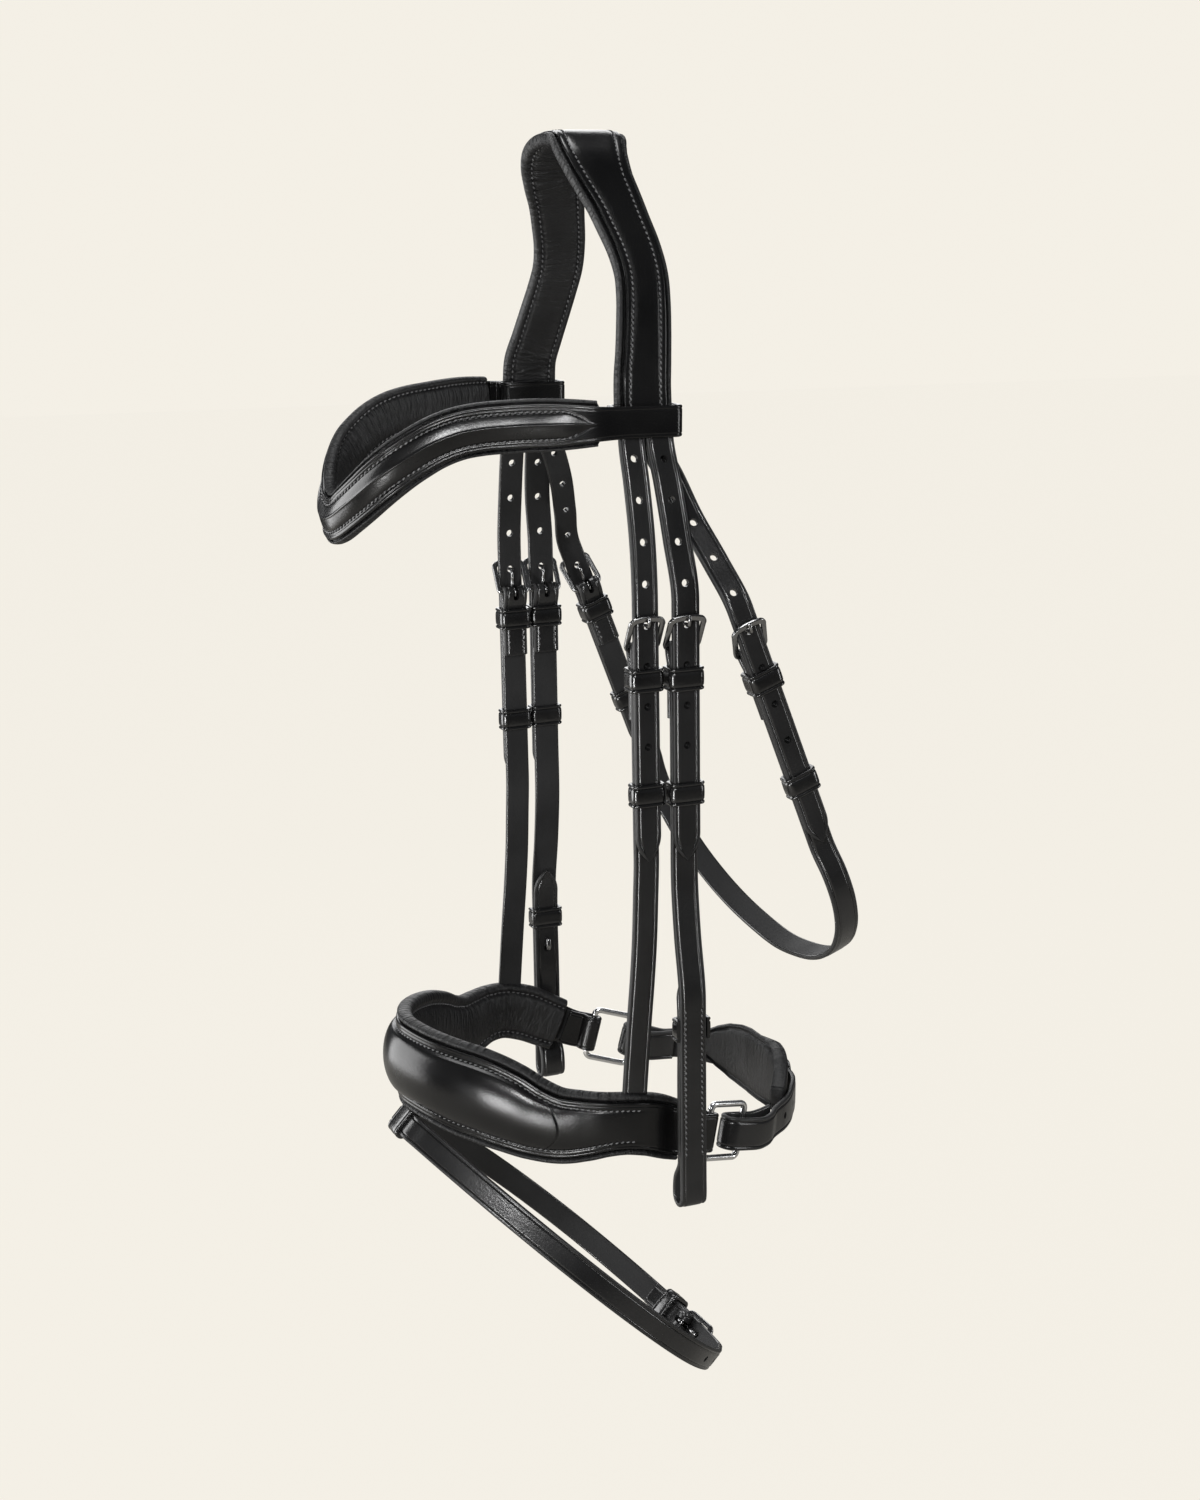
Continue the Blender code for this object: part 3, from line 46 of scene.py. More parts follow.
# The studio: a pale floor well under the hanging bridle, a cream backdrop all round,
# and large soft lamps at the sides and above, so the leather shows long quiet highlights.
cream = (0.905, 0.868, 0.790, 1)
floor_reach = 9.0
floor_low = -0.95
middle = (0.0, 0.0, -0.33)
camera_at = (-0.4448, -1.0955, -0.0176)
camera_dip = 13.37
camera_turn = -22.41


def feed(tree, node, inputs):
    """Set a node's inputs, each to a value or to the output of another node."""
    for key, value in inputs.items():
        if isinstance(value, bpy.types.NodeSocket):
            tree.links.new(value, node.inputs[key])
        else:
            node.inputs[key].default_value = value


def shade(tree, kind, inputs={}, **settings):
    """A new shader node of a kind, with its settings and then its inputs."""
    node = tree.nodes.new(f"ShaderNode{kind}")
    for key, value in settings.items():
        setattr(node, key, value)
    feed(tree, node, inputs)
    return node


def maths(tree, operation, *values):
    """The result of a sum on values or on other nodes' outputs."""
    return shade(tree, "Math", dict(enumerate(values)), operation=operation).outputs[0]


def new_finish(name):
    """A material, its node tree and its main shader."""
    finish = bpy.data.materials.new(name)
    finish.use_nodes = True
    return finish, finish.node_tree, finish.node_tree.nodes["Principled BSDF"]


def in_scene(name, data):
    thing = bpy.data.objects.new(name, data)
    bpy.context.scene.collection.objects.link(thing)
    return thing


def mesh_piece(name, points, faces, finish):
    mesh = bpy.data.meshes.new(name)
    mesh.from_pydata(points, [], faces)
    mesh.materials.append(finish)
    return in_scene(name, mesh)


def studio_paper():
    """Matt paper that the camera sees as an even cream glow."""
    paper, tree, matt = new_finish("studio_paper")
    feed(tree, matt, {"Base Color": (0.36, 0.345, 0.315, 1), "Roughness": 0.95, "Specular IOR Level": 0.0})
    glow = shade(tree, "Emission", {"Color": cream, "Strength": 1.018})
    seen = maths(tree, "MULTIPLY", shade(tree, "LightPath").outputs["Is Camera Ray"], 0.97)
    mix = shade(tree, "MixShader", {0: seen, 1: matt.outputs[0], 2: glow.outputs[0]})
    feed(tree, tree.nodes["Material Output"], {"Surface": mix.outputs[0]})
    return paper


quarters = ((-1, -1), (1, -1), (1, 1), (-1, 1))
corners = [(x * floor_reach, y * floor_reach, floor_low) for x, y in quarters]
floor = mesh_piece("floor", corners, [(0, 1, 2, 3)], studio_paper())

world = bpy.data.worlds.new("studio")
world.use_nodes = True
bpy.context.scene.world = world
tree = world.node_tree
room = tree.nodes["Background"]
feed(tree, room, {"Color": (0.92, 0.95, 1.0, 1), "Strength": 0.07})
backdrop = shade(tree, "Background", {"Color": cream, "Strength": 1.0})
seen = shade(tree, "LightPath").outputs["Is Camera Ray"]
pick = shade(tree, "MixShader", {0: seen, 1: room.outputs[0], 2: backdrop.outputs[0]})
feed(tree, tree.nodes["World Output"], {"Surface": pick.outputs[0]})


def soft_lamp(name, at, towards, width, height, watts):
    lamp = bpy.data.lights.new(name, "AREA")
    lamp.shape = "RECTANGLE"
    lamp.size = width
    lamp.size_y = height
    lamp.energy = watts
    holder = in_scene(name, lamp)
    holder.location = at
    way = np.array(towards, float) - np.array(at, float)
    turn = math.atan2(way[1], way[0])
    drop = math.atan2(math.hypot(way[0], way[1]), -way[2])
    holder.rotation_euler = (drop, 0, turn - math.pi / 2)


soft_lamp("window_left", (-1.45, 0.95, -0.2), middle, 1.5, 1.5, 34)
soft_lamp("strip_left", (-1.45, -1.17, -0.66), (0, -0.05, -0.56), 0.24, 0.54, 15)
soft_lamp("strip_front", (-0.85, -1.45, 0.42), (0.05, -0.05, -0.66), 0.24, 0.34, 13)
soft_lamp("strip_above", (-0.3, -1.25, 1.25), (0, 0, -0.2), 1.3, 0.06, 0.9)
soft_lamp("strip_right", (1.5, -0.95, 0.1), middle, 0.22, 1.5, 9)
soft_lamp("sky", (-0.1, 0.35, 1.5), middle, 0.9, 0.9, 16)
soft_lamp("rear_fill", (0.5, 1.8, 0.2), middle, 1.2, 1.4, 12)

lens = bpy.data.cameras.new("camera")
lens.lens = 56.9
lens.sensor_width = 36.0
lens.clip_start = 0.05
camera = in_scene("camera", lens)
camera.location = camera_at
camera.rotation_euler = (math.radians(90 - camera_dip), 0, math.radians(camera_turn))
bpy.context.scene.camera = camera
bpy.context.scene.view_settings.view_transform = "Standard"

# Black bridle leather: fine grain, dark tone with slow changes, and a waxed satin gloss.
# Its back is the rough flesh side, and linings are softer leather with deeper grain.
tone_ends = (0.3, 0.75)


def shader_group(name, inputs, outputs):
    """An empty node group, what its sockets give inside it, and the node that ends it."""
    group = bpy.data.node_groups.new(name, "ShaderNodeTree")
    for way, sockets in (("INPUT", inputs), ("OUTPUT", outputs)):
        for label, kind in sockets.items():
            group.interface.new_socket(label, in_out=way, socket_type=f"NodeSocket{kind}")
    return group, group.nodes.new("NodeGroupInput").outputs, group.nodes.new("NodeGroupOutput")


def grain_group():
    """Fine leather grain: cells and pores as a height, and a slow change of tone."""
    group, given, end = shader_group(
        "leather_grain", {"Place": "Vector", "Cells per metre": "Float"}, {"Height": "Float", "Tone": "Float"}
    )
    place, fine = given["Place"], given["Cells per metre"]
    cells = shade(group, "TexVoronoi", {"Vector": place, "Scale": fine}, feature="SMOOTH_F1")
    coarse = maths(group, "MULTIPLY", fine, 0.45)
    creases = shade(group, "TexNoise", {"Vector": place, "Scale": coarse, "Detail": 6.0, "Roughness": 0.62})
    height = maths(group, "MULTIPLY_ADD", cells.outputs["Distance"], 0.55, creases.outputs["Fac"])
    slow = shade(group, "TexNoise", {"Vector": place, "Scale": 34.0, "Detail": 4.0})
    feed(group, end, {"Height": height, "Tone": slow.outputs["Fac"]})
    return group


def wrinkle_group():
    """Fine wrinkles across a lining: noise drawn out across the piece, deeper where it bends."""
    group, given, end = shader_group(
        "lining_wrinkles", {"Lie": "Vector", "Bend": "Float"}, {"Height": "Float"}
    )
    drawn = shade(group, "Mapping", {"Vector": given["Lie"], "Scale": (430.0, 75.0, 1.0)}).outputs["Vector"]
    folds = shade(group, "TexNoise", {"Vector": drawn, "Scale": 1.0, "Detail": 3.0, "Distortion": 0.6})
    deeper = maths(group, "MULTIPLY_ADD", given["Bend"], 1.6, 0.22)
    feed(group, end, {"Height": maths(group, "MULTIPLY", folds.outputs["Fac"], deeper)})
    return group


leather_grain = grain_group()
lining_wrinkles = wrinkle_group()


def ramp(tree, value, colours, ends=(0.0, 1.0)):
    """A colour that goes from the first to the second as the value passes between two ends."""
    blend = shade(tree, "ValToRGB", {"Fac": value})
    for k in (0, 1):
        blend.color_ramp.elements[k].position = ends[k]
        blend.color_ramp.elements[k].color = (*colours[k], 1)
    return blend.outputs["Color"]


def bump(tree, height, depth, inputs={}):
    return shade(tree, "Bump", {"Height": height, "Distance": depth, **inputs}).outputs["Normal"]


def mark(tree, label, kind="Fac"):
    """A value that each point of the mesh carries."""
    return shade(tree, "Attribute", attribute_name=label).outputs[kind]


def leather(name, dark, light, gloss, dull, cells, depth, coat=0.0, rim=0.0, mirror=0.35, wrinkle=0.0):
    """Leather whose colour and roughness follow the tone, with the grain as a bump.

    dark and light are its two colours, gloss and dull its two roughnesses, and mirror is how
    strongly it reflects. rim is how much glossier the edges are, less than 0 where they are
    duller, and wrinkle is the depth of a lining's wrinkles.
    """
    finish, tree, shader = new_finish(name)
    place = shade(tree, "TexCoord").outputs["Object"]
    grain = shade(tree, "Group", {"Place": place, "Cells per metre": cells}, node_tree=leather_grain).outputs
    shine = shade(tree, "MapRange", {
        "Value": grain["Tone"], "From Min": tone_ends[0], "From Max": tone_ends[1],
        "To Min": gloss, "To Max": dull,
    })
    rough = shine.outputs["Result"]
    if rim:
        rough = maths(tree, "MULTIPLY_ADD", mark(tree, "rim"), -rim, rough)
    under = {}
    if wrinkle:
        lie = {"Lie": mark(tree, "lie", "Vector"), "Bend": mark(tree, "bend")}
        folds = shade(tree, "Group", lie, node_tree=lining_wrinkles)
        under["Normal"] = bump(tree, folds.outputs["Height"], wrinkle)
    feed(tree, shader, {
        "Base Color": ramp(tree, grain["Tone"], (dark, light), tone_ends), "Roughness": rough,
        "Normal": bump(tree, grain["Height"], depth, under), "Specular IOR Level": mirror,
        "Coat Weight": coat, "Coat Roughness": 0.28,
    })
    return finish


bridle_leather = leather(
    "bridle_leather", (0.0030, 0.0030, 0.0032), (0.0066, 0.0065, 0.0066), 0.19, 0.28, 1250, 0.06 * MM,
    coat=0.1, rim=0.06, mirror=0.42,
)
strap_leather = leather(
    "strap_leather", (0.010, 0.010, 0.0102), (0.019, 0.0188, 0.019), 0.20, 0.29, 1100, 0.06 * MM,
    rim=-0.30, mirror=0.62,
)
keeper_leather = leather(
    "keeper_leather", (0.0040, 0.0040, 0.0042), (0.0085, 0.0084, 0.0085), 0.15, 0.25, 620, 0.09 * MM,
    coat=0.35, rim=0.04, mirror=0.75,
)
flesh_side = leather(
    "flesh_side", (0.014, 0.014, 0.0143), (0.025, 0.025, 0.0254), 0.60, 0.74, 1500, 0.08 * MM, mirror=0.24
)
lining_leather = leather(
    "lining_leather", (0.007, 0.007, 0.0074), (0.016, 0.016, 0.0164), 0.44, 0.56, 760, 0.14 * MM,
    mirror=0.38, wrinkle=2.0 * MM,
)
# The thread itself is black: its grey colour is painted sheen, standing in for the light glints along the
# waxed stitches.
thread = leather(
    "waxed_thread_painted_sheen", (0.095, 0.095, 0.098), (0.20, 0.20, 0.203), 0.34, 0.46, 4000, 0.02 * MM, mirror=0.5
)

# The crown over the poll: a shaped leather strap on a soft padded lining whose edges roll
# up past the leather, sewn together by a row of saddle stitches along each side.
leather_thick = 2.6 * MM
edge_round = 1.2 * MM
lining_gap = 0.55 * MM
channel_share = 0.72
channel_depth = 0.56
crown_drop = 124.0 * MM
crown_half_span = 76.5 * MM
crown_wide = 38.0 * MM
crown_sway = 7.0 * MM
crown_pad = 6.0 * MM
crown_roll = 3.2 * MM
crown_seam = 3.3 * MM
crown_swell = 0.45 * MM
crown_swell_from = 4.0 * MM
crown_fade = 40.0 * MM
crown_steps, crown_columns = 300, 61
crown_shares = (
    (0.000, 0.000, -0.30, 1.00), (0.105, 0.004, -0.45, 1.00), (0.200, 0.020, -0.75, 0.98),
    (0.290, 0.053, -0.95, 0.96), (0.370, 0.103, -0.90, 0.90), (0.435, 0.165, -0.65, 0.82),
    (0.500, 0.240, -0.20, 0.76), (0.565, 0.320, 0.20, 0.73), (0.640, 0.410, 0.62, 0.71),
    (0.720, 0.510, 0.82, 0.70), (0.790, 0.600, 0.66, 0.70), (0.860, 0.700, 0.36, 0.71),
    (0.925, 0.800, 0.03, 0.72), (0.982, 0.900, -0.30, 0.74), (1.000, 1.000, -0.34, 0.75),
)


def unit(vectors):
    return vectors / np.linalg.norm(vectors, axis=-1, keepdims=True)


def along(path):
    """The direction of travel at each point of a path."""
    return unit(np.gradient(path, axis=0))


def run_of(path):
    """Length from the start of a path to each of its points."""
    return np.concatenate(([0], np.cumsum(np.linalg.norm(np.diff(path[:, :3], axis=0), axis=1))))


def read_at(places, lengths, rows):
    """Rows read at places between the lengths that belong to them."""
    return np.stack([np.interp(places, lengths, column) for column in rows.T], -1)


def even_steps(rows, count):
    lengths = run_of(rows)
    return read_at(np.linspace(0, lengths[-1], count), lengths, rows)


def curve_through(points, count, finest=8):
    """A cubic through the points, each piece leaving with the mean slope of its neighbours."""
    points = np.array(points, float)
    chords = np.linalg.norm(np.diff(points[:, :3], axis=0), axis=1)
    knots = run_of(points)
    slopes = np.gradient(points, knots, axis=0)
    fine = np.linspace(0, knots[-1], count * finest)
    span = np.clip(np.searchsorted(knots, fine, side="right") - 1, 0, len(chords) - 1)
    step = chords[span][:, None]
    t = ((fine - knots[span]) / chords[span])[:, None]
    rows = (
        (2 * t**3 - 3 * t**2 + 1) * points[span]
        + (t**3 - 2 * t**2 + t) * step * slopes[span]
        + (3 * t**2 - 2 * t**3) * points[span + 1]
        + (t**3 - t**2) * step * slopes[span + 1]
    )
    return even_steps(rows, count)


def mirrored(rows, flip):
    """Rows that end in the middle, followed by the same rows going back on the other side."""
    return np.concatenate((rows, rows[-2::-1] * flip))


def set_in_rings(centres, one, two, section):
    """Rings of points: sections of two numbers laid out from their centres along two ways."""
    one, two = (np.broadcast_to(way, centres.shape)[:, None] for way in (one, two))
    return centres[:, None] + one * section[..., :1] + two * section[..., 1:]


def surface(name, rings, finish, closed=False, back=None, back_columns=(), **marks):
    """A closed skin over rings of points, one ring for each step along the piece.

    rings has the shape (steps, points round, 3). The faces between the columns listed in
    back_columns take the back's material. Each mark is stored as a value for each point, and
    so is how each point lies: its length along the piece and its length round it.
    """
    steps, around = rings.shape[:2]
    a, b = np.meshgrid(np.arange(steps if closed else steps - 1), np.arange(around), indexing="ij")
    a, b = a.ravel(), b.ravel()
    next_a, next_b = (a + 1) % steps, (b + 1) % around
    quads = np.stack([a * around + b, a * around + next_b, next_a * around + next_b, next_a * around + b], 1)
    points = rings.reshape(-1, 3)
    corner = points[quads] - points.mean(0)
    volume = sum(
        np.einsum("ij,ij->i", corner[:, 0], np.cross(corner[:, k], corner[:, k + 1])).sum() for k in (1, 2)
    )
    faces = [tuple(q) for q in quads.tolist()]
    if not closed:
        faces.append(tuple(range(around))[::-1])
        faces.append(tuple(range(len(points) - around, len(points))))
    if volume < 0:
        faces = [face[::-1] for face in faces]
    piece = mesh_piece(name, points.tolist(), faces, finish)
    mesh = piece.data
    if back is not None:
        mesh.materials.append(back)
        slots = np.zeros(len(faces), np.int32)
        slots[: len(b)] = np.isin(b, back_columns)
        mesh.polygons.foreach_set("material_index", slots)
    for label, value in marks.items():
        values = np.broadcast_to(value, (steps, around)).ravel()
        mesh.attributes.new(label, "FLOAT", "POINT").data.foreach_set("value", values)
    lie = np.zeros((steps, around, 3))
    lie[..., 0] = run_of(rings.mean(1))[:, None]
    lie[..., 1] = run_of(rings[steps // 2])
    mesh.attributes.new("lie", "FLOAT_VECTOR", "POINT").data.foreach_set("vector", lie.ravel())
    mesh.shade_smooth()
    mesh.set_sharp_from_angle(angle=math.radians(50))
    return piece


def fitted(piece, *nodes, body="headpiece", slot="black_leather"):
    """Stand for the CAD nodes and ride on the body; slot is not used."""
    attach(piece, body)
    if nodes:
        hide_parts(*nodes)


def eased_ends(rings, inset=0.35 * MM, shrink=0.86):
    """The first and last ring drawn in towards their middle, so that cut ends look rounded."""
    ends = []
    for end, inside in ((rings[0], rings[1]), (rings[-1], rings[-2])):
        centre = end.mean(0)
        ends.append([centre + (end - centre) * shrink, end + unit(inside.mean(0) - centre) * inset])
    return np.concatenate((ends[0], rings[1:-1], ends[1][::-1]))


def across_face(widths, count):
    """Places across a band's outer face, in metres from its middle, for each of its widths."""
    return (widths[:, None] / 2 - edge_round) * np.linspace(-1, 1, count)[None]


def band_rings(path, across, outward, widths, lift, thick=leather_thick):
    """A leather band: flat inside on the path, its outer face raised by lift, edges rounded.

    lift has one height for each step and each place across the outer face.
    """
    half = widths[:, None] / 2
    outer = np.stack((across_face(widths, lift.shape[1])[:, ::-1], thick + lift[:, ::-1]), -1)
    steps = len(path)

    def edge(side, order):
        off = np.array((0.55, 0.12, 0.0, 0.0, 0.2, 0.65)) * MM
        up = np.array((0.0, 0.3, 0.85, thick / MM - 0.9, thick / MM - 0.35, thick / MM - 0.06)) * MM
        shape = np.stack((side * (half - off[None]), np.broadcast_to(up, (steps, len(up)))), -1)
        return shape[:, ::order]

    inner = np.stack((half * np.array((-0.8, -0.4, 0, 0.4, 0.8))[None], np.zeros((steps, 5))), -1)
    section = np.concatenate((inner, edge(1, 1), outer, edge(-1, -1)), axis=1)
    return set_in_rings(path, across, outward, section)


def seam_dip(distance, depth=0.32 * MM, width=0.55 * MM):
    """A sewn line pressed into leather: a round-bottomed groove at distance zero."""
    return -depth * np.exp(-((distance / width) ** 2))


def stitches(path, outward, pitch=2.8 * MM, length=1.8 * MM, radius=0.42 * MM, slant=0.30):
    """Points and faces of saddle stitches: an oval bead of thread for each pitch, its two ends
    diving into the leather.

    Each bead is a run of seven rings of six points whose radius is that of an ellipse.
    """
    rows, around = 7, 6
    lengths = run_of(path)
    count = max(2, int(lengths[-1] / pitch))
    middles = (np.arange(count) + 0.5) * lengths[-1] / count
    centre, ahead, up = (read_at(middles, lengths, table) for table in (path, along(path), outward))
    ahead = unit(ahead)
    up = unit(up - ahead * np.einsum("ij,ij->i", up, ahead)[:, None])
    lean = unit(ahead + np.cross(up, ahead) * slant)
    side = np.cross(up, lean)
    t = np.linspace(-1, 1, rows)
    swell = np.sqrt(np.clip(1 - (t * 0.985) ** 2, 0, 1))
    turn = np.linspace(0, math.tau, around, endpoint=False)
    rise = radius * (0.50 - 1.0 * t**4)
    rings = (
        centre[:, None, None]
        + lean[:, None, None] * (t * length / 2)[None, :, None, None]
        + up[:, None, None] * (rise[:, None] + radius * swell[:, None] * np.sin(turn)[None])[None, ..., None]
        + side[:, None, None] * (radius * swell[:, None] * np.cos(turn)[None])[None, ..., None]
    )
    base = np.arange(count)[:, None] * rows * around
    j = np.arange(around)
    next_j = (j + 1) % around
    ring = np.stack((j, next_j, next_j + around, j + around), -1)
    quad = (np.arange(rows - 1)[:, None, None] * around + ring).reshape(-1, 4)
    faces = (base[:, None] + quad[None]).reshape(-1, 4)[:, ::-1].tolist()
    faces += (base + np.arange(around)[None]).tolist()
    faces += (base + np.arange(rows * around - 1, (rows - 1) * around - 1, -1)[None]).tolist()
    return rings.reshape(-1, 3).tolist(), faces


def sewn(name, lanes):
    """Several stitch rows as one piece. Each lane is a path and the way out of the leather."""
    points, faces = [], []
    for path, outward in lanes:
        row, row_faces = stitches(path, outward)
        faces += [[len(points) + v for v in face] for face in row_faces]
        points += row
    piece = mesh_piece(name, points, faces, thread)
    piece.data.shade_smooth()
    fitted(piece)


def rounded_section(points, fine=5):
    """Closed sections, one for each step, smoothed by a Catmull-Rom curve through their points."""
    t = np.linspace(0, 1, fine, endpoint=False)[None, None, :, None]
    p0, p1, p2, p3 = (np.roll(points, shift, 1)[:, :, None] for shift in (1, 0, -1, -2))
    smooth = 0.5 * (
        2 * p1 + (p2 - p0) * t + (2 * p0 - 5 * p1 + 4 * p2 - p3) * t**2 + (3 * p1 - p0 - 3 * p2 + p3) * t**3
    )
    return smooth.reshape(len(points), -1, 2)


roll_shares = ((0.00, 0.02), (0.08, -0.20), (0.40, -0.36), (0.80, -0.26), (1.00, 0.10))
pad_shares = (
    (0.99, 0.44), (0.93, 0.72), (0.84, 0.80), (0.765, 0.68),
    (0.72, 0.56), (0.675, 0.66), (0.58, 0.86), (0.30, 1.00),
)
ruck_step, ruck_drift, ruck_fade = 0.00145, 0.013, 0.021


def lining_rings(seat, across, inward, widths, thick, roll, ruck):
    """A padded lining: a rolled edge on each side, a sewn channel beside it, and a soft crown.

    Small rucks run across it, deepest by the channels, where the stitches pull the leather in.
    """
    half = widths / 2
    flat = half - roll + 0.6 * MM
    side = [(flat + (half - flat) * u, np.full_like(half, v)) for u, v in roll_shares]
    side += [(half * u, np.full_like(half, v)) for u, v in pad_shares]
    one = np.stack([np.stack(pair, -1) for pair in side], 1)
    other = one[:, ::-1] * (-1, 1)
    zero = np.zeros((len(seat), 1, 2))
    section = rounded_section(np.concatenate((zero, one, zero + (0, 1.0), other), axis=1) * (1, thick))
    s = run_of(seat)[:, None]
    share = np.abs(section[..., 0]) / half[:, None]
    near = np.exp(-(((share - 0.62) / 0.16) ** 2)) + 0.45 * np.exp(-(((share - 0.93) / 0.07) ** 2))
    wave = np.sin(s / ruck_step + 2.2 * np.sin(s / ruck_drift)) * (0.55 + 0.45 * np.sin(s / ruck_fade + 1.3))
    inner = np.clip(section[..., 1] / thick - 0.3, 0, 1)
    section[..., 1] += ruck * wave * near * inner
    return set_in_rings(seat, across, inward, section)


def bend_of(path, tight=28 * MM):
    """How tightly a path bends at each point, 1 where its radius is the tight one or less."""
    turn = np.linalg.norm(np.gradient(along(path), axis=0), axis=1)
    step = np.maximum(np.linalg.norm(np.gradient(path, axis=0), axis=1), 1e-6)
    share = np.clip(turn / step * tight, 0, 1)
    spread = np.exp(-(np.linspace(-2, 2, 31) ** 2))
    return np.convolve(share, spread / spread.sum(), "same")[:, None]


def padded_band(part, band, widths, lift, seam, sewn_rows, lining, lining_widths, pad, roll,
                sunk=0.12 * MM, ruck=0.10 * MM, inset=1.2 * MM):
    """A leather band, the padded lining behind it, and the stitches of its seams and channels.

    band and lining are each a path, the way across it and the way out. seam is the stitches'
    distance from the middle, sunk is how deep they lie, and sewn_rows says where they are.
    """
    path, across, outward = band
    skin = surface(
        f"{part}_leather", eased_ends(band_rings(path, across, outward, widths, lift)), bridle_leather,
        back=flesh_side, back_columns=(0, 1, 2, 3, 4),
    )
    fitted(skin, f"{part}_shell")
    seat, seat_across, seat_out = lining
    rings = lining_rings(seat - seat_out * lining_gap, seat_across, -seat_out, lining_widths, pad, roll, ruck)
    bend = np.pad(bend_of(seat), ((1, 1), (0, 0)))
    cushion = surface(f"{part}_lining", eased_ends(rings, inset, 0.8), lining_leather, bend=bend)
    fitted(cushion, f"{part}_padding", slot="soft_lining")
    lanes = []
    for side in (-1, 1):
        lane = path + across * (side * seam)[:, None] + outward * (leather_thick - sunk)
        lanes.append((lane[sewn_rows], outward[sewn_rows]))
        channel = side * lining_widths[:, None] / 2 * channel_share
        deep = lining_gap + pad * channel_depth + 0.1 * MM
        lanes.append((seat + seat_across * channel - seat_out * deep, -seat_out))
    sewn(f"{part}_stitches", lanes)


crown_table = np.array([
    (sway * crown_sway, out * crown_half_span, crown_pad - down * crown_drop, wide * crown_wide)
    for out, down, sway, wide in crown_shares
])
crown_flip = (1, -1, 1, 1)
crown_rows = curve_through(mirrored(crown_table[::-1] * crown_flip, crown_flip), crown_steps)
crown_path, crown_wides = crown_rows[:, :3], crown_rows[:, 3]
crown_ahead = along(crown_path)
crown_across = unit(np.array((1.0, 0, 0)) - crown_ahead * crown_ahead[:, :1])
crown_out = np.cross(crown_ahead, crown_across)
crown_out *= np.sign(crown_out[crown_steps // 2, 2])
crown_end_x, crown_end_z = float(crown_path[-1, 0]), float(crown_path[-1, 2])
strap_wides = crown_wides - 2 * crown_roll
from_seam = strap_wides[:, None] / 2 - crown_seam - np.abs(across_face(strap_wides, crown_columns))
swell = np.clip(from_seam / crown_swell_from, 0, 1)
from_end = np.minimum(run_of(crown_path), run_of(crown_path)[::-1])[:, None]
end_fade = np.clip(from_end / crown_fade, 0, 1)
crown_lift = seam_dip(from_seam) + crown_swell * swell * (2 - swell) * end_fade
crown_ways = (crown_path, crown_across, crown_out)
padded_band(
    "crown", crown_ways, strap_wides, crown_lift, strap_wides / 2 - crown_seam, slice(None),
    crown_ways, crown_wides, crown_pad - lining_gap, crown_roll,
)

# The browband: a dipped leather band with a padded ridge along its middle, a lining whose
# edges roll out above and below it, and plain loops at its ends round the crown's straps.
gap = 0.3 * MM
cheek_wide = 14.0 * MM
nose_strap_wide = 13.0 * MM
browband_reach = 132.0 * MM
browband_dip = 48.5 * MM
browband_high = 20.0 * MM
browband_loop_high = 15.0 * MM
browband_pad = 5.0 * MM
browband_roll = 2.4 * MM
browband_ridge = 2.2 * MM
ridge_share = 0.60
ridge_seam = 0.55 * MM
ridge_fold_high = 0.32 * MM
ridge_fold_wide = 0.5 * MM
edge_crease = 1.75 * MM
brow_steps, brow_columns = 420, 81
loop_corner = 2.0 * MM
loop_seam = 3.0 * MM
browband_shares = (
    (0.114, 1.000, 0.000, 0.75), (0.190, 0.997, 0.003, 0.80), (0.265, 0.942, 0.010, 0.90),
    (0.341, 0.869, 0.020, 0.98), (0.417, 0.797, 0.030, 1.00), (0.492, 0.737, 0.045, 1.00),
    (0.568, 0.688, 0.065, 1.00), (0.644, 0.646, 0.105, 1.00), (0.720, 0.605, 0.185, 1.00),
    (0.795, 0.554, 0.310, 1.00), (0.856, 0.497, 0.440, 1.00), (0.909, 0.416, 0.590, 1.00),
    (0.947, 0.327, 0.730, 1.00), (0.977, 0.220, 0.860, 1.00), (0.996, 0.105, 0.965, 1.00),
    (1.000, 0.000, 1.000, 1.00),
)


def arc(centre, radius, start, end, steps):
    """Points on an arc in a plane, angles in degrees."""
    angles = np.radians(np.linspace(start, end, steps + 1))
    return np.stack((centre[0] + radius * np.cos(angles), centre[1] + radius * np.sin(angles)), 1)


def upright_band(rows):
    """The path of a band that runs round the head, its upright direction and its way out."""
    path = rows[:, :3]
    ahead = along(path)
    upright = unit(np.array((0, 0, 1.0)) - ahead * ahead[:, 2:3])
    return path, upright, np.cross(upright, ahead)


def soft_step(x):
    x = np.clip(x, 0, 1)
    return x * x * (3 - 2 * x)


outer_y = crown_half_span + leather_thick + 2 * gap
inner_y = crown_half_span - crown_pad - 2 * gap
half_loop = (nose_strap_wide + cheek_wide + 3 * gap) / 2
loop_rear = crown_end_x + half_loop + loop_corner
loop_front = crown_end_x - half_loop - gap
loop_z = crown_end_z - browband_loop_high * 0.4
loop_bend = leather_thick * 1.4
plan = np.concatenate((
    [(loop_front - loop_bend - loop_seam, outer_y - gap)],
    arc((loop_front - loop_bend, outer_y - gap - loop_bend), loop_bend, 90, 0, 6),
    [(loop_front, inner_y + loop_corner), (loop_front + loop_corner, inner_y)],
    arc((loop_rear - loop_corner, inner_y + loop_corner), loop_corner, -90, 0, 6),
    arc((loop_rear - loop_corner, outer_y - loop_corner), loop_corner, 0, 90, 6),
    [((loop_front * 2 + loop_rear) / 3, outer_y)],
)) * (1, -1)
loop_rows = np.column_stack((plan, np.tile((loop_z, browband_loop_high, 0), (len(plan), 1))))
ramp_from = browband_shares[1][0]
brow_half = [
    (-forward * browband_reach, -out * outer_y, loop_z - down * browband_dip, high * browband_high,
     min(1.0, max(0.0, (forward - ramp_from) / ramp_from)))
    for forward, out, down, high in browband_shares
]
brow_flip = (1, -1, 1, 1, 1)
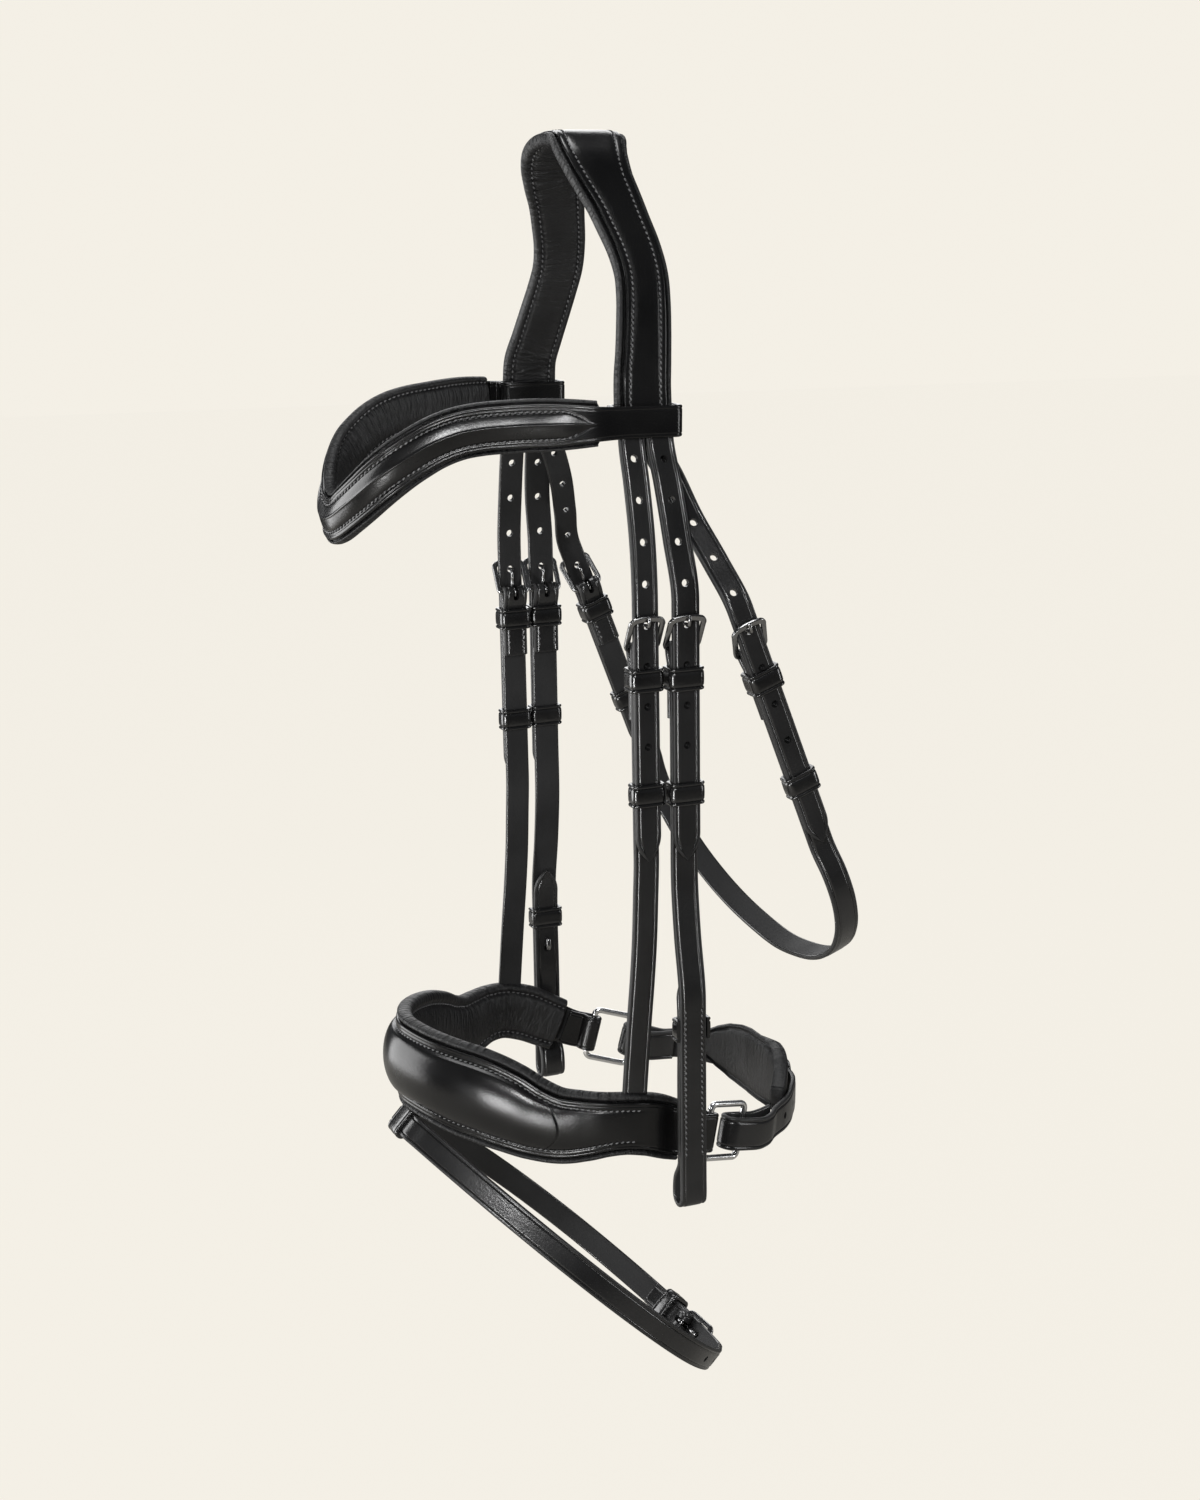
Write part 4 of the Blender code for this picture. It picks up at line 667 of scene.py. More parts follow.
front_rows = curve_through(mirrored(np.array(brow_half), brow_flip), brow_steps)
brow_rows = np.concatenate((loop_rows, front_rows, loop_rows[::-1] * brow_flip))
brow_high, brow_full = brow_rows[:, 3], brow_rows[:, 4]
across_brow = across_face(brow_high, brow_columns)
ridge_wide = np.maximum(brow_high / 2 * ridge_share * soft_step(brow_full * 1.6), 0.2 * MM)
ridge_half = ridge_wide[:, None]
over_ridge = np.clip(np.abs(across_brow / ridge_half), 0, 1)
bulge = 0.55 * np.sqrt(1 - over_ridge**2) + 0.45 * (1 - over_ridge) ** 1.2
full = brow_full[:, None]
fold_line = np.exp(-(((across_brow - ridge_half * 0.08) / ridge_fold_wide) ** 2)) * soft_step(full * 2)
brow_lift = browband_ridge * soft_step(full) * bulge + ridge_fold_high * fold_line
brow_lift += seam_dip(np.abs(across_brow) - ridge_half - ridge_seam, 0.30 * MM) * soft_step(full * 3)
brow_lift += seam_dip(brow_high[:, None] / 2 - edge_crease - np.abs(across_brow), 0.22 * MM, 0.3 * MM)
lined = front_rows[front_rows[:, 0] < plan[0, 0] - leather_thick]
padded_band(
    "browband", upright_band(brow_rows), brow_high, brow_lift, ridge_wide + ridge_seam, brow_full > 0.35,
    upright_band(lined), lined[:, 3] + 2 * browband_roll, browband_pad, browband_roll, sunk=0.10 * MM,
)

# The noseband: a wide leather band with a domed, stuffed front, a thick rolled lining, and
# ends that turn round the steel rings and are sewn to the inside.
nose_reach = 101.0 * MM
nose_rear = 34.0 * MM
nose_half_wide = 91.0 * MM
nose_drop = 453.0 * MM
nose_fall = 32.0 * MM
nose_high = 42.0 * MM
nose_dome = 6.5 * MM
dome_inset = 4.6 * MM
nose_edge_seam = 3.9 * MM
nose_seam = 98.5 * MM
nose_seam_bow = 6.0 * MM
nose_seam_step = 0.55 * MM
nose_pad = 7.0 * MM
nose_roll = 4.0 * MM
nose_lining_from = 9.5 * MM
nose_steps, fold_steps, nose_spots, nose_columns = 1200, 60, 560, 95
ring_wire = 1.6 * MM
ring_turn = 19.0
ring_pitch = 13.0
ring_seam_from = 9.0 * MM
ring_seam_to = 15.0 * MM
noseband_shares = (
    (-0.337, 0.879, 0.935, 0.45, 0.00), (-0.240, 0.915, 0.860, 0.48, 0.00),
    (-0.110, 0.955, 0.700, 0.54, 0.00), (0.020, 0.988, 0.520, 0.57, 0.00), (0.150, 1.000, 0.430, 0.57, 0.05),
    (0.260, 0.970, 0.430, 0.60, 0.12), (0.360, 0.905, 0.470, 0.68, 0.25), (0.460, 0.820, 0.500, 0.76, 0.45),
    (0.560, 0.720, 0.440, 0.86, 0.70), (0.660, 0.620, 0.310, 0.96, 0.90), (0.755, 0.520, 0.200, 1.00, 1.00),
    (0.850, 0.405, 0.120, 1.00, 1.00), (0.920, 0.290, 0.060, 0.98, 1.00), (0.970, 0.165, 0.020, 0.97, 1.00),
    (1.000, 0.000, 0.000, 0.97, 1.00),
)


class Axes:
    """Axes of a strap: X down the strap, Y across it and Z out from the horse."""

    def __init__(self, origin, down, out):
        self.origin = np.array(origin, float)
        self.x = unit(np.array(down, float))
        z = np.array(out, float)
        self.z = unit(z - self.x * (z @ self.x))
        self.y = np.cross(self.z, self.x)

    def place(self, points):
        points = np.array(points, float)
        return self.origin + points[..., :1] * self.x + points[..., 1:2] * self.y + points[..., 2:] * self.z

    def into(self, points):
        gone = np.array(points, float) - self.origin
        return np.stack((gone @ self.x, gone @ self.y, gone @ self.z), -1)

    def moved(self, x):
        return Axes(self.place((x, 0, 0)), self.x, self.z)


def ring_axes(side):
    """The steel ring's axes: X back along the ring from its front bar, Z up along the bar."""
    turn, pitch = math.radians(ring_turn), math.radians(ring_pitch)
    level = math.cos(pitch)
    back = np.array((math.cos(turn) * level, -side * math.sin(turn) * level, -math.sin(pitch)))
    out = np.array((math.sin(turn), side * math.cos(turn), 0))
    share, fall = noseband_shares[0][1:3]
    end = np.array((nose_rear, side * share * nose_half_wide, -nose_drop - fall * nose_fall))
    return Axes(end - out * (ring_wire + gap), back, np.cross(out, back) * -side)


nose_half = np.array([
    (-forward * nose_reach, -out * nose_half_wide, -nose_drop - fall * nose_fall, high * nose_high, dome)
    for forward, out, fall, high, dome in noseband_shares
])
nose_fine = curve_through(mirrored(nose_half, (1, -1, 1, 1, 1)), nose_steps)
nose_run = run_of(nose_fine)
nose_rows = nose_fine[(nose_run > ring_seam_from) & (nose_run < nose_run[-1] - ring_seam_from)]
nose_run = run_of(nose_rows)
nose_path, nose_up, nose_out = upright_band(nose_rows)
turn_radius = ring_wire + gap
left_ring = ring_axes(-1)
curl = np.concatenate((
    [(turn_radius * -2.6, turn_radius * 0.72), (turn_radius * -1.4, turn_radius * -0.62)],
    arc((0, 0), turn_radius, 250, 450, 16),
))
seam_rows = [int(np.searchsorted(nose_run, ring_seam_to - ring_seam_from)), 0]
fold_points = np.concatenate((
    nose_path[seam_rows] - nose_out[seam_rows] * gap,
    left_ring.place(np.column_stack((curl * (1, -1), np.zeros(len(curl))))),
))
fold_up = np.concatenate((nose_up[seam_rows], np.tile(left_ring.z, (len(curl), 1))))
fold_fine = curve_through(np.column_stack((fold_points, fold_up)), fold_steps)
fold_points, fold_up = fold_fine[:, :3], unit(fold_fine[:, 3:])
fold_out = unit(np.cross(fold_up, along(fold_points)))
fold_sizes = np.tile((nose_rows[0, 3], 0), (fold_steps, 1))
fold_rows = np.column_stack((fold_points, fold_up, fold_out, fold_sizes))
mirror = np.array((1, -1, 1))
nose_table = np.concatenate((
    fold_rows, np.column_stack((nose_path, nose_up, nose_out, nose_rows[:, 3:])),
    fold_rows[::-1] * (*mirror, *mirror, *mirror, 1, 1),
))
run = run_of(nose_table)
close = nose_seam + np.arange(-9 * MM, 3 * MM, 0.22 * MM)
front = run[-1] / 2
spots = np.sort(np.concatenate((np.linspace(0, run[-1], nose_spots), front - close, front + close)))
nose_table = read_at(spots, run, nose_table)
band_ways = (nose_table[:, :3], unit(nose_table[:, 3:6]), unit(nose_table[:, 6:9]))
band_high, band_dome = nose_table[:, 9], nose_table[:, 10]
domed = band_dome[:, None]
from_front = np.abs(spots - front)[:, None]
across_nose = across_face(band_high, nose_columns)
dome_half = band_high[:, None] / 2 - dome_inset
over = np.clip(np.abs(across_nose) / dome_half, 0, 1)
nose_lift = nose_dome * domed * (np.sqrt(1 - over**2) * 0.8 + (1 - over**2) * 0.2)
from_edge = band_high[:, None] / 2 - np.abs(across_nose)
nose_lift += seam_dip(from_edge - nose_edge_seam, 0.34 * MM) * soft_step(domed * 8)
nose_lift += seam_dip(from_edge - edge_crease, 0.24 * MM, 0.3 * MM)
behind_seam = from_front - nose_seam + nose_seam_bow * (across_nose / dome_half) ** 2
inside = soft_step((from_edge - nose_edge_seam) / (1.2 * MM))
nose_lift += inside * nose_seam_step * (1 - soft_step((behind_seam + 0.5 * MM) / (0.9 * MM)))
nose_lift += inside * seam_dip(behind_seam - 0.35 * MM, 0.22 * MM, 0.4 * MM)
trim = (nose_run > nose_lining_from) & (nose_run < nose_run[-1] - nose_lining_from)
trim = np.nonzero(trim)[0][::2]
padded_band(
    "noseband", band_ways, band_high, nose_lift, band_high / 2 - nose_edge_seam, band_dome > 0.03,
    (nose_path[trim], nose_up[trim], nose_out[trim]), nose_rows[trim, 3] + 2 * nose_roll, nose_pad, nose_roll,
    ruck=0.13 * MM, inset=1.4 * MM,
)

# The steel rings between the noseband and the chin strap, and the steel of all buckles:
# turned and polished bar, its flat faces brushed and its edges bright.
ring_long = 24.0 * MM
ring_inner_high = 25.0 * MM
ring_corner = 3.0 * MM
ring_squareness = 2.5
sides = ((-1, "left"), (1, "right"))


def polished_steel(name, dark, light):
    """Polished bar: fine streaks change its tone, its roughness and its surface a little."""
    finish, tree, shader = new_finish(name)
    place = shade(tree, "TexCoord").outputs["Object"]
    streak = shade(tree, "TexNoise", {"Vector": place, "Scale": 420.0, "Detail": 5.0}).outputs["Fac"]
    rough = shade(tree, "MapRange", {"Value": streak, "To Min": 0.14, "To Max": 0.28})
    feed(tree, shader, {
        "Metallic": 1.0, "Roughness": rough.outputs["Result"],
        "Base Color": ramp(tree, streak, ((dark, dark, dark * 1.01), (light, light, light))),
        "Normal": bump(tree, streak, 0.01 * MM, {"Strength": 0.6}),
    })
    return finish


buckle_steel = polished_steel("buckle_steel", 0.25, 0.40)
# The rings are the same steel as the buckles: their much brighter colour is painted light, standing in for
# the bright reflections their bars catch from the light above.
ring_steel_painted_bright = polished_steel("ring_steel_painted_bright", 0.74, 0.90)


def in_plane(flat):
    """Points given along a strap and off it, as points along, across and off it."""
    return np.insert(np.array(flat, float), 1, 0, axis=1)


def rounded_frame(half_x, half_y, corner, steps):
    """A rounded rectangle about the origin, starting at the middle of its right side."""
    x, y = half_x - corner, half_y - corner
    centres = ((x, y), (-x, y), (-x, -y), (x, -y))
    return np.concatenate([
        arc(centre, corner, 90 * k, 90 * k + 90, steps) for k, centre in enumerate(centres)
    ])


def bar_rings(path, axis, wide, deep, power, around=20):
    """Sections of a bar bent in one plane: a rounded square, wide in the plane and deep across it.

    wide, deep and power can change along the path. A power of 2 is round, and more is squarer.
    """
    ahead = unit(np.roll(path, -1, 0) - np.roll(path, 1, 0))
    wide, deep, power = (np.broadcast_to(size, len(path))[:, None] for size in (wide, deep, power))
    turn = (np.arange(around) + 0.5) * math.tau / around
    c, s = np.cos(turn)[None], np.sin(turn)[None]
    u = np.sign(c) * np.abs(c) ** (2 / power) * wide
    v = np.sign(s) * np.abs(s) ** (2 / power) * deep
    return set_in_rings(path, unit(np.cross(ahead, axis)), axis, np.stack((u, v), -1))


for side, name in sides:
    axes = ring_axes(side)
    outline = rounded_frame(ring_long / 2, ring_inner_high / 2 + ring_wire, ring_corner, 10)
    path = axes.place(in_plane(outline + (ring_long / 2, 0)))
    rings = bar_rings(path, axes.y, ring_wire, ring_wire, ring_squareness)
    ring = surface(f"steel_ring_{name}", rings, ring_steel_painted_bright, closed=True)
    fitted(ring, f"side_ring_{name}", body=f"side_ring_{name}", slot="polished_steel")

# The leather straps: cut from black bridle leather, each with a crease pressed in near its
# edges, burnished edges and a rough back. Keepers and buckles follow the same sizes.
layer = leather_thick + gap
hole_radius = 1.8 * MM
hole_pitch = 19.5 * MM
bar = 1.0 * MM
buckle_long = 14.5 * MM
buckle_play = 0.6 * MM
buckle_corner = 2.0 * MM
buckle_bow = 1.5 * MM
pin = 0.9 * MM
fold_back = 34.0 * MM
fold_from = 8.0 * MM
fold_seam = 2.7 * MM
keeper_thick = 1.6 * MM
keeper_long = 11.0 * MM
fixed_keeper_at = 14.0 * MM
runner_at = 70.0 * MM
billet_tip = 103.0 * MM
billet_taper = 13.0 * MM
billet_straight = 24.0 * MM
hinge_up = -(leather_thick / 2 + gap + leather_thick + gap + bar)
free_up = leather_thick / 2 + gap + bar
eye_radius = bar + gap + pin
fold_radius = bar + gap + leather_thick / 2
pin_hole_at = -(buckle_long - bar - gap - pin)
slot_reach = eye_radius + pin + 0.6 * MM
slot_half = pin + 0.6 * MM

# One half of a strap's section: share of the half width, distance in from the edge and
# height from the middle of the thickness, with the crease two millimetres from the edge.
thin = leather_thick / 2
strap_section = np.array((
    (0.55, 0.0, thin + 0.13 * MM), (1, 3.2 * MM, thin + 0.09 * MM), (1, 2.60 * MM, thin + 0.02 * MM),
    (1, 2.10 * MM, thin - 0.44 * MM), (1, 1.70 * MM, thin - 0.10 * MM), (1, 1.25 * MM, thin - 0.04 * MM),
    (1, 0.7 * MM, thin - 0.08 * MM), (1, 0.25 * MM, thin - 0.33 * MM), (1, 0, thin - 0.85 * MM),
    (1, 0, -thin + 0.7 * MM), (1, 0.25 * MM, -thin + 0.22 * MM), (1, 0.8 * MM, -thin), (0.5, 0, -thin),
))
strap_rim = np.zeros(28)
strap_rim[[7, 8, 9, 10, 18, 19, 20, 21]] = 1


def strap_rings(path, across, widths):
    """A creased strap's section, closed all round, at each step of a path along its middle.

    Distances from the edge are stretched where the outline slants, so that the crease keeps
    its distance from a pointed end too.
    """
    half = widths[:, None] / 2
    slant = np.sqrt(1 + np.gradient(half[:, 0], run_of(path)) ** 2)[:, None]
    slant = np.minimum(slant, half / (3.1 * MM))
    u = half * strap_section[None, :, 0] - slant * strap_section[None, :, 1]
    one = np.stack((u, np.broadcast_to(strap_section[None, :, 2], u.shape)), -1)
    top = np.broadcast_to((0, thin + 0.15 * MM), (len(path), 1, 2))
    bottom = np.broadcast_to((0, -thin), (len(path), 1, 2))
    section = np.concatenate((top, one, bottom, one[:, ::-1] * (-1, 1)), axis=1)
    return set_in_rings(path, across, unit(np.cross(along(path), across)), section)


def strap(name, path, across, widths, node, punches, body="headpiece"):
    """A strap along a path, with its holes cut, fitted to its node and body."""
    across, widths = unit(np.broadcast_to(across, path.shape)), np.broadcast_to(widths, len(path))
    rings = eased_ends(strap_rings(path, across, widths), 0.3 * MM, 0.9)
    piece = surface(name, rings, strap_leather, back=flesh_side, back_columns=(12, 13, 14, 15), rim=strap_rim)
    fitted(punched(piece, punches), node, body=body)


def pointed(path, width, taper=billet_taper):
    """Widths along a strap that ends in a pointed arch, two arcs that meet at the tip."""
    from_end = np.clip(run_of(path)[-1] - run_of(path), 0, taper)
    radius = (taper**2 + (width / 2) ** 2) / width
    arch = np.sqrt(radius**2 - (taper - from_end) ** 2) - radius + width / 2
    return np.maximum(2 * arch, 0.7 * MM)


def finer_tip(path, taper=billet_taper, count=26):
    """The path with its last stretch resampled, so that the pointed end has close rows."""
    lengths = run_of(path)
    body = lengths[lengths < lengths[-1] - taper]
    tip = lengths[-1] - taper * np.linspace(1, 0, count)
    return read_at(np.concatenate((body, tip)), lengths, path)


def punched(piece, cutters):
    """Cut every punch out of the piece and leave plain mesh behind."""
    for cutter in cutters:
        cut = piece.modifiers.new("punch", "BOOLEAN")
        cut.operation = "DIFFERENCE"
        cut.object = cutter
    bpy.context.view_layer.update()
    shape = bpy.data.meshes.new_from_object(piece.evaluated_get(bpy.context.evaluated_depsgraph_get()))
    whole = piece.data
    piece.modifiers.clear()
    piece.data = shape
    bpy.data.meshes.remove(whole)
    for cutter in cutters:
        bpy.data.meshes.remove(cutter.data)
    shape.name = piece.name
    shape.set_sharp_from_angle(angle=math.radians(50))
    return piece


def prism(outline, centre, one, two, way, depth):
    """A punch: an outline in the plane of one and two, pushed through along way."""
    flat = centre + outline[:, :1] * one + outline[:, 1:] * two
    return surface("punch", np.stack((flat - way * depth / 2, flat + way * depth / 2)), bridle_leather)


def round_punch(centre, axis, radius=hole_radius, depth=2 * leather_thick):
    axis = unit(np.array(axis, float))
    one = unit(np.cross(axis, (0.31, 0.52, 0.79)))
    return prism(arc((0, 0), radius, 0, 345, 23), np.array(centre), one, np.cross(axis, one), axis, depth)


def pin_slot(axes):
    """The slot for the buckle's pin, through both layers of the fold and round its end."""
    start = -(fold_radius + leather_thick)
    outline = np.concatenate((
        [(start, slot_half), (start, -slot_half)], arc((slot_reach - slot_half, 0), slot_half, -90, 90, 10)
    ))
    return prism(outline, axes.place((0, 0, hinge_up)), axes.x, axes.y, axes.z, 12 * MM)


def fold_curve():
    """The buckled end of a strap, in its own plane: under its fold, round the bar, and out."""
    inner = -2 * layer
    low = hinge_up - fold_radius
    return np.concatenate((
        [(fold_back, inner), (fold_back * 0.6, inner), (fold_from, inner)],
        [(slot_reach, inner * 0.3 + low * 0.7)],
        arc((0, hinge_up), fold_radius, 270, 90, 12), [(slot_reach, -layer)],
    ))


def straight_lanes(axes, first, last, width, height):
    """Two sewn rows on a straight strap, each a path and the way off the leather."""
    run = np.arange(first, last, MM)
    lanes = []
    for side in (-1, 1):
        lane = axes.place([(s, side * (width / 2 - fold_seam), height) for s in run])
        lanes.append((lane, np.broadcast_to(axes.z * np.sign(height), lane.shape)))
    return lanes


def even_ring(outline, count):
    """A closed outline read at even steps of its length."""
    ring = np.concatenate((outline, outline[:1]))
    lengths = run_of(ring)
    return read_at(np.linspace(0, lengths[-1], count, endpoint=False), lengths, ring)


def wire_rings(path, radius, axis=(0, 1.0, 0), around=14):
    """A round wire bent in one plane, with ends rounded by rings that shrink as a circle does."""
    ahead = along(path)
    side = unit(np.cross(ahead, axis))
    turn = np.arange(around) * math.tau / around
    cap = np.radians((8, 30, 55, 78))
    first = path[0] - ahead[0] * radius * np.cos(cap)[:, None]
    last = path[-1] + ahead[-1] * radius * np.cos(cap[::-1])[:, None]
    centre = np.concatenate((first, path, last))
    lateral = np.concatenate((np.repeat(side[:1], 4, 0), side, np.repeat(side[-1:], 4, 0)))
    size = np.concatenate((radius * np.sin(cap), np.full(len(path), radius), radius * np.sin(cap[::-1])))
    section = np.stack((np.cos(turn)[None] * size[:, None], np.sin(turn)[None] * size[:, None]), -1)
    return set_in_rings(centre, lateral, axis, section)


def buckle(name, axes, width, nodes, body="headpiece"):
    """A flat steel frame, round where it is the hinge bar, and its pin with a curled eye.

    nodes names the frame's node and the pin's, and the pin rides on the body of its own name.
    """
    half = width / 2 + buckle_play + bar
    reach = math.hypot(free_up - hinge_up, buckle_long)
    tilt = math.atan2(free_up - hinge_up, buckle_long)
    outline = even_ring(rounded_frame(reach / 2, half - 0.12 * MM, buckle_corner, 9), 150)
    free = soft_step((-outline[:, 0] - reach / 2 + 2.6 * MM) / (1.6 * MM))
    flat = soft_step((reach / 2 - outline[:, 0] - 0.8 * MM) / (2.4 * MM))
    u = outline[:, 0] - reach / 2 - (1 - (outline[:, 1] / half) ** 2) * free * buckle_bow
    path = np.column_stack((u * math.cos(tilt), outline[:, 1], hinge_up - u * math.sin(tilt)))
    plane = np.array((math.sin(tilt), 0, math.cos(tilt)))
    wide, deep = bar * (1 + 0.25 * flat + 0.2 * free), bar * (1 - 0.15 * flat)
    rings = bar_rings(path, plane, wide, deep, 2 + 3.5 * flat)
    steel_frame = surface(f"{name}_frame", axes.place(rings), buckle_steel, closed=True)
    fitted(steel_frame, nodes[0], body=body, slot="polished_steel")
    over = free_up - hinge_up + bar + gap + pin
    curve = np.concatenate((arc((0, 0), eye_radius, -160, 90, 20), [
        (pin_hole_at * 0.45, eye_radius), (pin_hole_at * 0.88, eye_radius * 0.98),
        (pin_hole_at * 0.985, -hinge_up * 0.62), (pin_hole_at, -hinge_up), (pin_hole_at, over - pin),
        (-buckle_long, over), (-(buckle_long + bar * 1.8), over - pin * 0.1),
    ]))
    shape = curve_through(in_plane(curve), 90) + (0, 0, hinge_up)
    steel_pin = surface(f"{name}_pin", axes.place(wire_rings(shape, pin)), buckle_steel)
    fitted(steel_pin, nodes[1], body=nodes[1], slot="polished_steel")


# One side of a keeper's outer face, from its edge in: share of half its length, and rise in
# millimetres. Two raised rims lie outside a crease each, and the leather swells between them.
keeper_section = np.array((
    (1.00, -0.75), (1.00, -0.35), (0.965, -0.04), (0.89, 0.14), (0.81, 0.12), (0.745, -0.10), (0.68, -0.50),
    (0.615, -0.12), (0.54, 0.05), (0.34, 0.14), (0.0, 0.18),
))
keeper_share, keeper_rise = (mirrored(keeper_section * (-1, 1), (-1, 1)) * (1, MM)).T
keeper_share = np.concatenate((keeper_share, (1.0, 0.0, -1.0)))


def split_sides(ring, corner_points=10, parts=8):
    """A rounded rectangle's outline with each straight side cut into equal parts."""
    rows = []
    for k, (one, other) in enumerate(zip(ring, np.roll(ring, -1, 0))):
        steps = parts if k % corner_points == corner_points - 1 else 1
        rows.append(one + (other - one) * (np.arange(steps) / steps)[:, None])
    return np.concatenate(rows)


def keeper(name, body, axes, half_width, low, high, node, reach=keeper_long, swell=0.25 * MM):
    """A leather band round the straps: raised between two creases, its edges burnished."""
    corner = keeper_thick * 1.75
    half_x, half_y = half_width + gap, (high - low) / 2 + gap
    outer = split_sides(rounded_frame(half_x + keeper_thick, half_y + keeper_thick, corner, 9))
    inner = split_sides(rounded_frame(half_x, half_y, corner - keeper_thick, 9))
    out = unit(outer - inner)
    outer[:, 1] += np.sign(outer[:, 1]) * swell * np.clip(1 - (outer[:, 0] / half_x) ** 2, 0, 1)
    face = outer[:, None] + out[:, None] * keeper_rise[None, :, None]
    back = np.broadcast_to(inner[:, None], (len(outer), 3, 2))
    flat = np.concatenate((face, back), 1) + (0, (high + low) / 2)
    x = np.broadcast_to(keeper_share * reach / 2, flat.shape[:2])
    worn = np.append(np.clip(keeper_rise / MM * 3, 0, 1), (0, 0, 0))
    rings = np.concatenate((x[..., None], flat), -1)
    band = surface(name, axes.place(rings), keeper_leather, closed=True, rim=worn)
    fitted(band, node, body=body)


# The three straps on each side: the noseband's, the cheekpiece's and the throatlash's billet
# come down from the crown, pass their buckles and keepers, and end in pointed tips.
buckle_drop = 230.0 * MM
nose_strap_out = nose_half_wide - 1.0 * MM - leather_thick / 2 + layer
nose_forward = 7.6 * MM
nose_lean = 1.2
cheek_out = 95.0 * MM
cheek_lean = 0.9
throat_wide = 13.0 * MM
throat_out = 108.0 * MM
throat_back = 42.0 * MM
throat_lower = 2.0 * MM
throat_lean = 21.5
half_frame_nose = nose_strap_wide / 2 + buckle_play + 2 * bar
half_frame_cheek = cheek_wide / 2 + buckle_play + 2 * bar
cheek_back = half_frame_nose + half_frame_cheek + 0.4 * MM - nose_forward
billet_top = crown_end_z - 4 * gap
outer_layer = crown_half_span + leather_thick / 2
inner_layer = outer_layer - layer
nose_bends = ((0.0, 0.0, 0.0), (0.12, 0.0, 0.10), (0.30, 0.40, 0.30), (0.52, 0.78, 0.60))
cheek_bends = ((0.0, 0.0, 0.0), (0.12, 0.0, 0.10), (0.30, 0.42, 0.26), (0.52, 0.78, 0.52))
throat_bends = (
    (0.025, 0.0, 0.0), (0.125, 0.0, 0.09), (0.28, 0.09, 0.30), (0.44, 0.25, 0.465), (0.62, 0.64, 0.64)
)
# For each strap: its width, how far its buckle is back, out and down, how far it leans to the
# rear in degrees, where it leaves the crown, in which layer, and the bends on its way down.
strap_plans = {
    "noseband": (nose_strap_wide, -nose_forward, nose_strap_out, buckle_drop, nose_lean,
                 crown_end_x - (cheek_wide + gap) / 2, outer_layer, nose_bends),
    "cheek": (cheek_wide, cheek_back, cheek_out, buckle_drop, cheek_lean,
              crown_end_x + (nose_strap_wide + gap) / 2, outer_layer, cheek_bends),
    "throat": (throat_wide, throat_back, throat_out, buckle_drop + throat_lower, throat_lean,
               crown_end_x, inner_layer, throat_bends),
}


def billet(name, side, width, axes, out, top_x, layer_y, bends, node):
    """A billet from the crown down to its buckle, and on to its tip, with eight holes."""
    points = [(
        top_x + (axes.origin[0] - top_x) * back,
        side * (layer_y + (out - layer_y) * outward),
        billet_top + (axes.origin[2] - billet_top) * down,
    ) for down, outward, back in bends]
    local = np.concatenate((axes.into(points), [(-billet_straight * k, 0, 0) for k in (1.0, 0.85, 0.0)]))
    straight = [(x, 0, 0) for x in np.linspace(2 * MM, billet_tip, 50)]
    path = axes.place(finer_tip(np.concatenate((curve_through(local, 90), straight))))
    across = unit(np.cross((0, side, 0.0), along(path)))
    run = run_of(path) - (run_of(path)[-1] - billet_tip)
    places = pin_hole_at + hole_pitch * np.arange(-4, 4)
    ways = read_at(places, run, np.cross(along(path), across))
    punches = [round_punch(*hole) for hole in zip(read_at(places, run, path), ways)]
    strap(name, path, across, pointed(path, width), node, punches)


strap_axes = {}
for side, name in sides:
    lanes = []
    for kind, (width, back, out, drop, lean, top_x, layer_y, bends) in strap_plans.items():
        angle = math.radians(lean)
        axes = Axes((back, side * out, -drop), (math.sin(angle), 0, -math.cos(angle)), (0, side, 0))
        strap_axes[kind, name] = axes
        lanes += straight_lanes(axes, fold_from + MM, fold_back - 2 * MM, width, -2 * layer - thin + 0.1 * MM)
        billet(f"{kind}_strap_top_{name}", side, width, axes, out, top_x, layer_y, bends,
               f"{kind}_billet_{name}")
        nodes = (f"{kind}_buckle_{name}", f"{kind}_tongue_{name}")
        buckle(f"{kind}_steel_{name}", axes, width, nodes)
        under, over = -layer - leather_thick / 2, leather_thick / 2
        keeper(f"{kind}_sewn_band_{name}", "headpiece", axes.moved(fixed_keeper_at), width / 2,
               under - layer, over, f"{kind}_fixed_keeper_{name}")
        keeper(f"{kind}_sliding_band_{name}", f"{kind}_runner_{name}", axes.moved(runner_at), width / 2,
               under, over, f"{kind}_runner_{name}")
    sewn(f"fold_stitches_{name}", lanes)

# The noseband's cheek straps: folded round their buckles above, and sewn between the
# noseband's leather and its lining below.
hanger_long = nose_drop + 21.0 * MM - buckle_drop
hanger_drift = 10.0 * MM
for side, name in sides:
    axes = strap_axes["noseband", name]
    drift = side * hanger_drift
    tail = curve_through([
        (billet_tip, 0, -layer), (hanger_long * 0.6, drift * 0.18, -layer),
        (hanger_long * 0.8, drift * 0.6, -layer), (hanger_long, drift, -layer),
    ], 70)
    straight = [(s * MM, 0, -layer) for s in (20, 40, 60, 80, 95)]
    path = curve_through(np.concatenate((in_plane(fold_curve()), straight, tail[::10])), 230)
    slanted = np.cross((0, 0, 1.0), along(path))
    drifts = (path[:, :1] > billet_tip) * (run_of(path)[:, None] > 90 * MM)
    across = unit(np.where(drifts, slanted, (0, 1.0, 0)))
    across = across[:, :1] * axes.x + across[:, 1:2] * axes.y
    node = f"noseband_hanger_{name}"
    strap(f"noseband_cheek_strap_{name}", axes.place(path), across, nose_strap_wide, node, [pin_slot(axes)])

